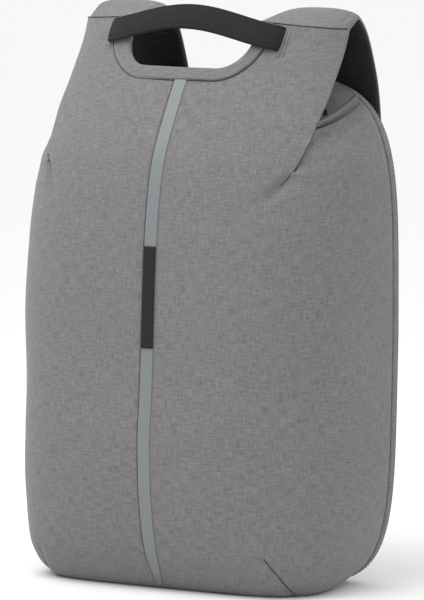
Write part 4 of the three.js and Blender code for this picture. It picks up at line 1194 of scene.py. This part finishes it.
def simulate_pad(piece, voxel, pressure, cap, pinned):
    """Even faces, then 20 frames of pressure; no point moves further than cap millimetres."""
    remesh = piece.modifiers.new("even faces", "REMESH")
    remesh.mode = "VOXEL"
    remesh.voxel_size = voxel * MM
    even, rest = applied(piece)
    piece.modifiers.clear()
    piece.data = even
    sewn = piece.vertex_groups.new(name="sewn edge")
    sewn.add([int(i) for i in np.flatnonzero(pinned(rest / MM))], 1.0, "REPLACE")
    cloth = piece.modifiers.new("foam pressure", "CLOTH")
    cloth.settings.use_pressure = True
    cloth.settings.uniform_pressure_force = pressure
    cloth.settings.quality = 6
    cloth.settings.tension_stiffness = 12
    cloth.settings.vertex_group_mass = "sewn edge"
    cloth.settings.effector_weights.gravity = 0
    for frame_number in range(1, 21):
        bpy.context.scene.frame_set(frame_number)
    blown, moved = applied(piece)
    step = moved - rest
    reach = np.linalg.norm(step, axis=1, keepdims=True)
    piece.modifiers.clear()
    piece.vertex_groups.clear()
    bpy.data.meshes.remove(blown)
    bpy.context.scene.frame_set(1)
    print(piece.name, "swelled by", round(float(reach.max()) / MM, 1), "mm before the cap")
    return (rest + step * np.minimum(1, cap * MM / np.maximum(reach, 1e-9))) / MM


def set_points(mesh, points):
    mesh.vertices.foreach_set("co", (points * MM).astype(np.float32).ravel())
    mesh.update()


def subdivide_once(piece):
    finer = piece.modifiers.new("finer", "SUBSURF")
    finer.levels = finer.render_levels = 1
    fine, points = applied(piece)
    piece.modifiers.clear()
    piece.data = fine
    return points / MM


# %% The back pad and its channel
PAD_MIDDLE = ZIP_Y + 9.6
pad_rings = [outline_ring(60, ZIP_Y + 6.2), outline_ring(7.0, ZIP_Y + 6.2), outline_ring(5.6, ZIP_Y + 8.2),
             outline_ring(6.0, ZIP_Y + 10.6), outline_ring(9.5, ZIP_Y + 12.2), outline_ring(60, ZIP_Y + 12.6)]
PAD_FRONT, PAD_REAR = ZIP_Y + 6.2, ZIP_Y + 12.6
pad_centre = [0 * pad_rings[0] + np.array([0, y, BAG_HEIGHT / 2]) for y in (PAD_FRONT, PAD_REAR)]
pad_grid = np.stack([pad_centre[0], *pad_rings, pad_centre[1]])
back_pad = make_piece("back_padding", [pad_grid], BACK_MESH, "black_mesh", ["back_panel"])


def near_edge(points):
    """How far inside the outline each point lies."""
    z = points[:, 2]
    beside = outline_half_width(np.clip(z, 1, BAG_HEIGHT - 1)) - np.abs(points[:, 0])
    return np.minimum(beside, np.minimum(z, BAG_HEIGHT - z))


points = simulate_pad(back_pad, 4.0, 4.0, 2.6, lambda p: near_edge(p) < 9.0)
set_points(back_pad.data, points)
points = subdivide_once(back_pad)
rear = clamp((points[:, 1] - PAD_MIDDLE) / 2.0)
x, z = np.abs(points[:, 0]), points[:, 2]
channel_end = clamp(np.minimum(z - 44, BAG_HEIGHT - 44 - z) / 9)
channel = clamp((15.5 - x) / 6.5)
channel = eased(channel) * eased(channel_end)
inside = near_edge(points)
stitched = 17.5
groove = 1.1 * bell(inside - 15, 1.8) + 1.0 * bell(x - stitched, 1.8) * channel_end
for level in (120.0, 272.0):
    slant = level + 0.10 * x
    groove += 0.9 * bell(z - slant, 2.0) * clamp((inside - 15) / 4) * clamp((x - stitched) / 3)
points[:, 1] -= rear * (4.4 * channel + groove)
points[:, 1] = np.minimum(points[:, 1], ZIP_Y + 15.6)
set_points(back_pad.data, points)
for polygon in back_pad.data.polygons:
    polygon.use_smooth = True
print("back padding", len(back_pad.data.polygons), "faces, rear at", round(float(points[:, 1].max()), 1),
      "mm")

# %% [markdown]
# ## Webbing, ladder locks and anchors
# Below each strap a tab holds a ladder lock, and webbing runs from the lock to a triangular anchor on the
# pad. The webbing turns round real bars, so its path is drawn from the side and given width; a cloth
# simulation would never thread itself through the lock.

# %% Paths and flat bands
BAR_UPPER, BAR_LOWER, LOCK_Y, TURN = 110.0, 90.0, ZIP_Y + 21.6, 2.7
STRAP_END_X = 95.0


def turn_round(bar, start, end):
    angle = np.radians(np.linspace(start, end, 13))
    return np.stack([LOCK_Y + TURN * np.cos(angle), bar + TURN * np.sin(angle)], axis=1)


def web_centre(z):
    share = clamp((BAR_LOWER - 14 - z) / (BAR_LOWER - 14 - 34))
    return STRAP_END_X + 14 * share


def webbing_grid(path, centre, width=25.0, thick=1.5):
    path = smooth_curve(np.concatenate([np.zeros((len(path), 1)), path], axis=1), 5)
    u = np.array([0, 0.03, 0.1, 0.3, 0.5, 0.7, 0.9, 0.97, 1.0])
    x = centre(path[:, 2])[:, None] + (u[None] - 0.5) * width
    grid = np.stack([x, np.repeat(path[:, 1:2], 9, axis=1), np.repeat(path[:, 2:3], 9, axis=1)], axis=-1)
    edge = np.broadcast_to((0.5 * thick * np.array([0.1, 0.7, 1, 1, 1, 1, 1, 0.7, 0.1]))[None],
                           grid.shape[:2])
    return closed_band(grid, -edge, edge, 0.3)


tab_path = np.concatenate([[[LOCK_Y - TURN, 126.5], [LOCK_Y - TURN, 118.0]], turn_round(BAR_UPPER, 180, 360),
                           [[LOCK_Y + TURN, 118.0], [LOCK_Y + TURN, 126.5]]])
foot = ZIP_Y + 14 + 0.6 + 1.8 + 0.8
web_path = np.concatenate([[[foot, 34.0], [foot, 50.0]], turn_round(BAR_LOWER, 180, 0),
                           [[LOCK_Y + TURN + 0.3, 59.0], [LOCK_Y + TURN + 0.3, 28.5]]])
tab_grid = webbing_grid(tab_path, lambda z: STRAP_END_X + 0 * z)
web_grid = webbing_grid(web_path, web_centre)

# %% Ladder locks and anchors
def rod(start, end, radius, flat=(1.0, 1.0, 1.0)):
    t = np.linspace(0, 1, 15)[:, None]
    path = np.array(start) * (1 - t) + np.array(end) * t
    ends = clamp(np.minimum(t[:, 0], 1 - t[:, 0]) * 15 * 0.28)
    grid = tube_grid(path, radius, 16, np.maximum(0.02, np.sqrt(1 - (1 - ends) ** 2)))
    middle = path.mean(axis=0)
    return middle + (grid - middle) * np.array(flat)


lock_half = 15.3
bar_half = 17.0
lock_parts = [rod((STRAP_END_X - bar_half, LOCK_Y, bar), (STRAP_END_X + bar_half, LOCK_Y, bar), 1.55)
              for bar in (BAR_UPPER, BAR_LOWER)]
for side in (-1, 1):
    x = STRAP_END_X + side * lock_half
    lock_parts.append(rod((x, LOCK_Y, 86.2), (x, LOCK_Y, 113.8), 1.75))
lip = [(STRAP_END_X + side * 15.5, LOCK_Y + 0.3, 86.9) for side in (-1, 1)]
lock_parts.append(rod(*lip, 1.0))
anchor_x = 109.0
anchor_z = np.linspace(18, 50, 30)
anchor_left = anchor_x - 12.5 - 2 * (50 - anchor_z) / 32
anchor_right = anchor_x + 12.5 - 6.25 * clamp((30.5 - anchor_z) / 12.5)
anchor_rise = np.array([-0.1, 0.5, 0.9, 1, 1, 1, 1, 1, 0.9, 0.5, -0.1]) * 1.8
anchor_across = anchor_left[:, None] + (anchor_right - anchor_left)[:, None] * EDGE_SHARES[None]
anchor_seat = np.broadcast_to(ZIP_Y + 14.1 + anchor_rise[None], anchor_across.shape)
anchor_up = np.repeat(anchor_z[:, None], 11, axis=1)
anchor_grid = np.stack([anchor_across, anchor_seat, anchor_up], axis=-1)[:, ::-1]
box = np.array([(-10, 4), (10, 4), (10, -12), (-10, -12), (-10, 4), (10, -12), (-10, -12), (10, 4)], float)
stitch_face = foot + 0.85
box_runs = [np.array([[anchor_x + ax, stitch_face, 42 + az], [anchor_x + bx, stitch_face, 42 + bz]])
            for (ax, az), (bx, bz) in zip(box, box[1:])]
make_pair("tab_webbing", [tab_grid], WEBBING, "black_webbing", "strap_tab")
make_pair("webbing", [web_grid], WEBBING, "black_webbing", "lower_webbing")
make_pair("ladder_lock", lock_parts, PLASTIC, "black_plastic", "adjuster")
make_pair("anchor_cloth", [anchor_grid], WEBBING, "black_webbing", "anchor", thickness=0.4)
thread_pair(stitches, "anchor_stitches", box_runs, DARK_THREAD_AND_SEAM_SHADE, "black_webbing", 2.4, 1.8, 0.2)
print("webbing", web_grid.shape, "lock parts", len(lock_parts))

# %% [markdown]
# ## Small things on the cloth
# Thin dark tubes paint the shade in each dart seam, at the bottom corners, and in the slit where the wing
# leaves the side. The fold behind the wing has a cord of the same cloth sewn in along its edge, and a snap
# sits in its pocket. A texture could draw them, but they catch light of their own, so each is a small solid
# placed by the functions that made the cloth.

# %% Painted shade in the dart seams, and the snap
# Dark tubes along the corner creases paint the shade of the dart seams
dart_runs = []
for points, _, _ in (RIGHT_CREASES[1], LEFT_CREASES[1]):
    dense = resampled(np.array([[x, 0.0, z] for x, z in points]), 40)
    dart_runs.append(on_face(dense[:, 0], np.maximum(dense[:, 2], 0.9), 0.15))
seam_line("corner_dart_seam_shade", dart_runs, 0.4, DARK_THREAD_AND_SEAM_SHADE, "grey_melange")
# Dark tubes under the wing's hem edge and along the slit's end paint the shade of the slit where the wing
# leaves the side
hem_z = np.linspace(DART_HEIGHT - 4.5, FOLD_FRONT + 3, 40)
hem_x = wing_edge(hem_z) + 0.5 - 2.2 * clamp((DART_HEIGHT - hem_z) / 5)
thread_pair(seam_line, "wing_dart_seam", [on_face(hem_x, hem_z, -1.1)], 0.75, DARK_THREAD_AND_SEAM_SHADE, "grey_melange")
dart_end = np.linspace(0, 1, 24)
end_run = on_face(115.0 - 8.0 * dart_end, 330.5 - 12.0 * dart_end, -0.35)
thread_pair(seam_line, "wing_dart_end", [end_run], 0.6, DARK_THREAD_AND_SEAM_SHADE, "grey_melange")
piping = fold_curve() + np.array([0.3, -0.3, 0.9])
thread_pair(seam_line, "fold_piping", [piping], 1.15, MELANGE, "grey_melange")
SNAP_Z = 371.0
SNAP_PROFILE = [(2.7, 0.0), (2.6, 0.7), (2.1, 1.1), (1.2, 1.0), (0.9, 0.5), (0.01, 0.4)]
snap_place = behind_face(wing_edge(SNAP_Z + 1) - 1.0, SNAP_Z, np.float64(9.0))
turn = np.linspace(0, 2 * np.pi, 25)
snap_rings = [np.stack([r * np.cos(turn), 0 * turn - lift, r * np.sin(turn)], axis=1) for r,
              lift in SNAP_PROFILE]
make_pair("fold_snap", [snap_place + np.stack(snap_rings)], PLASTIC, "black_plastic")
print("dart seams:", len(dart_runs) + 2, "and a snap in each fold")

# %% [markdown]
# ## Floor, light and camera
# The photograph looks like one taken with a long lens in a white studio: shadows are faint and the top is a
# little brighter than the front. A bright even surround does most of it, with one large soft light above
# and in front. The camera stands 33 degrees round to the wearer's right hand side, a little above the
# middle of the bag.

# %% Floor
floor_mesh = bpy.data.meshes.new("floor")
floor_mesh.from_pydata([(-6, -6, 0), (6, -6, 0), (6, 6, 0), (-6, 6, 0)], [], [(0, 1, 2, 3)])
floor_paint = bpy.data.materials.new("pale floor")
floor_paint.use_nodes = True
floor_shader = floor_paint.node_tree.nodes["Principled BSDF"]
floor_shader.inputs["Base Color"].default_value = (0.93, 0.93, 0.93, 1)
floor_shader.inputs["Roughness"].default_value = 0.9
floor_mesh.materials.append(floor_paint)
floor = bpy.data.objects.new("floor", floor_mesh)
bpy.context.scene.collection.objects.link(floor)

# %% Light
scene = bpy.context.scene
scene.view_settings.view_transform = "Standard"
world = bpy.data.worlds.new("white studio")
scene.world = world
world.use_nodes = True
world.node_tree.nodes["Background"].inputs["Color"].default_value = (1, 1, 1, 1)
world.node_tree.nodes["Background"].inputs["Strength"].default_value = 1.0


def area_light(name, place, target, size, power):
    lamp = bpy.data.lights.new(name, "AREA")
    lamp.size = size
    lamp.energy = power
    holder = bpy.data.objects.new(name, lamp)
    holder.location = place
    holder.rotation_euler = (Vector(target) - Vector(place)).to_track_quat("-Z", "Y").to_euler()
    scene.collection.objects.link(holder)
    return holder


area_light("top softbox", (-0.25, -0.55, 1.3), (0, 0, 0.25), 0.9, 9.5)
area_light("side softbox", (2.2, -0.6, 1.0), (0, 0, 0.25), 1.2, 4)

# %% Camera
AZIMUTH, ELEVATION, DISTANCE = 33.0, 6.4, 5.426
TARGET = Vector((0.0112, 0.0073, 0.2198))
around, above = math.radians(AZIMUTH), math.radians(ELEVATION)
level = math.cos(above)
towards_camera = Vector((math.sin(around) * level, -math.cos(around) * level, math.sin(above)))
lens = bpy.data.cameras.new("camera")
lens.lens = 420
lens.clip_end = 50
camera = bpy.data.objects.new("camera", lens)
camera.location = TARGET + towards_camera * DISTANCE
camera.rotation_euler = (-towards_camera).to_track_quat("-Z", "Y").to_euler()
scene.collection.objects.link(camera)
scene.camera = camera
print("camera at", [round(v, 3) for v in camera.location])
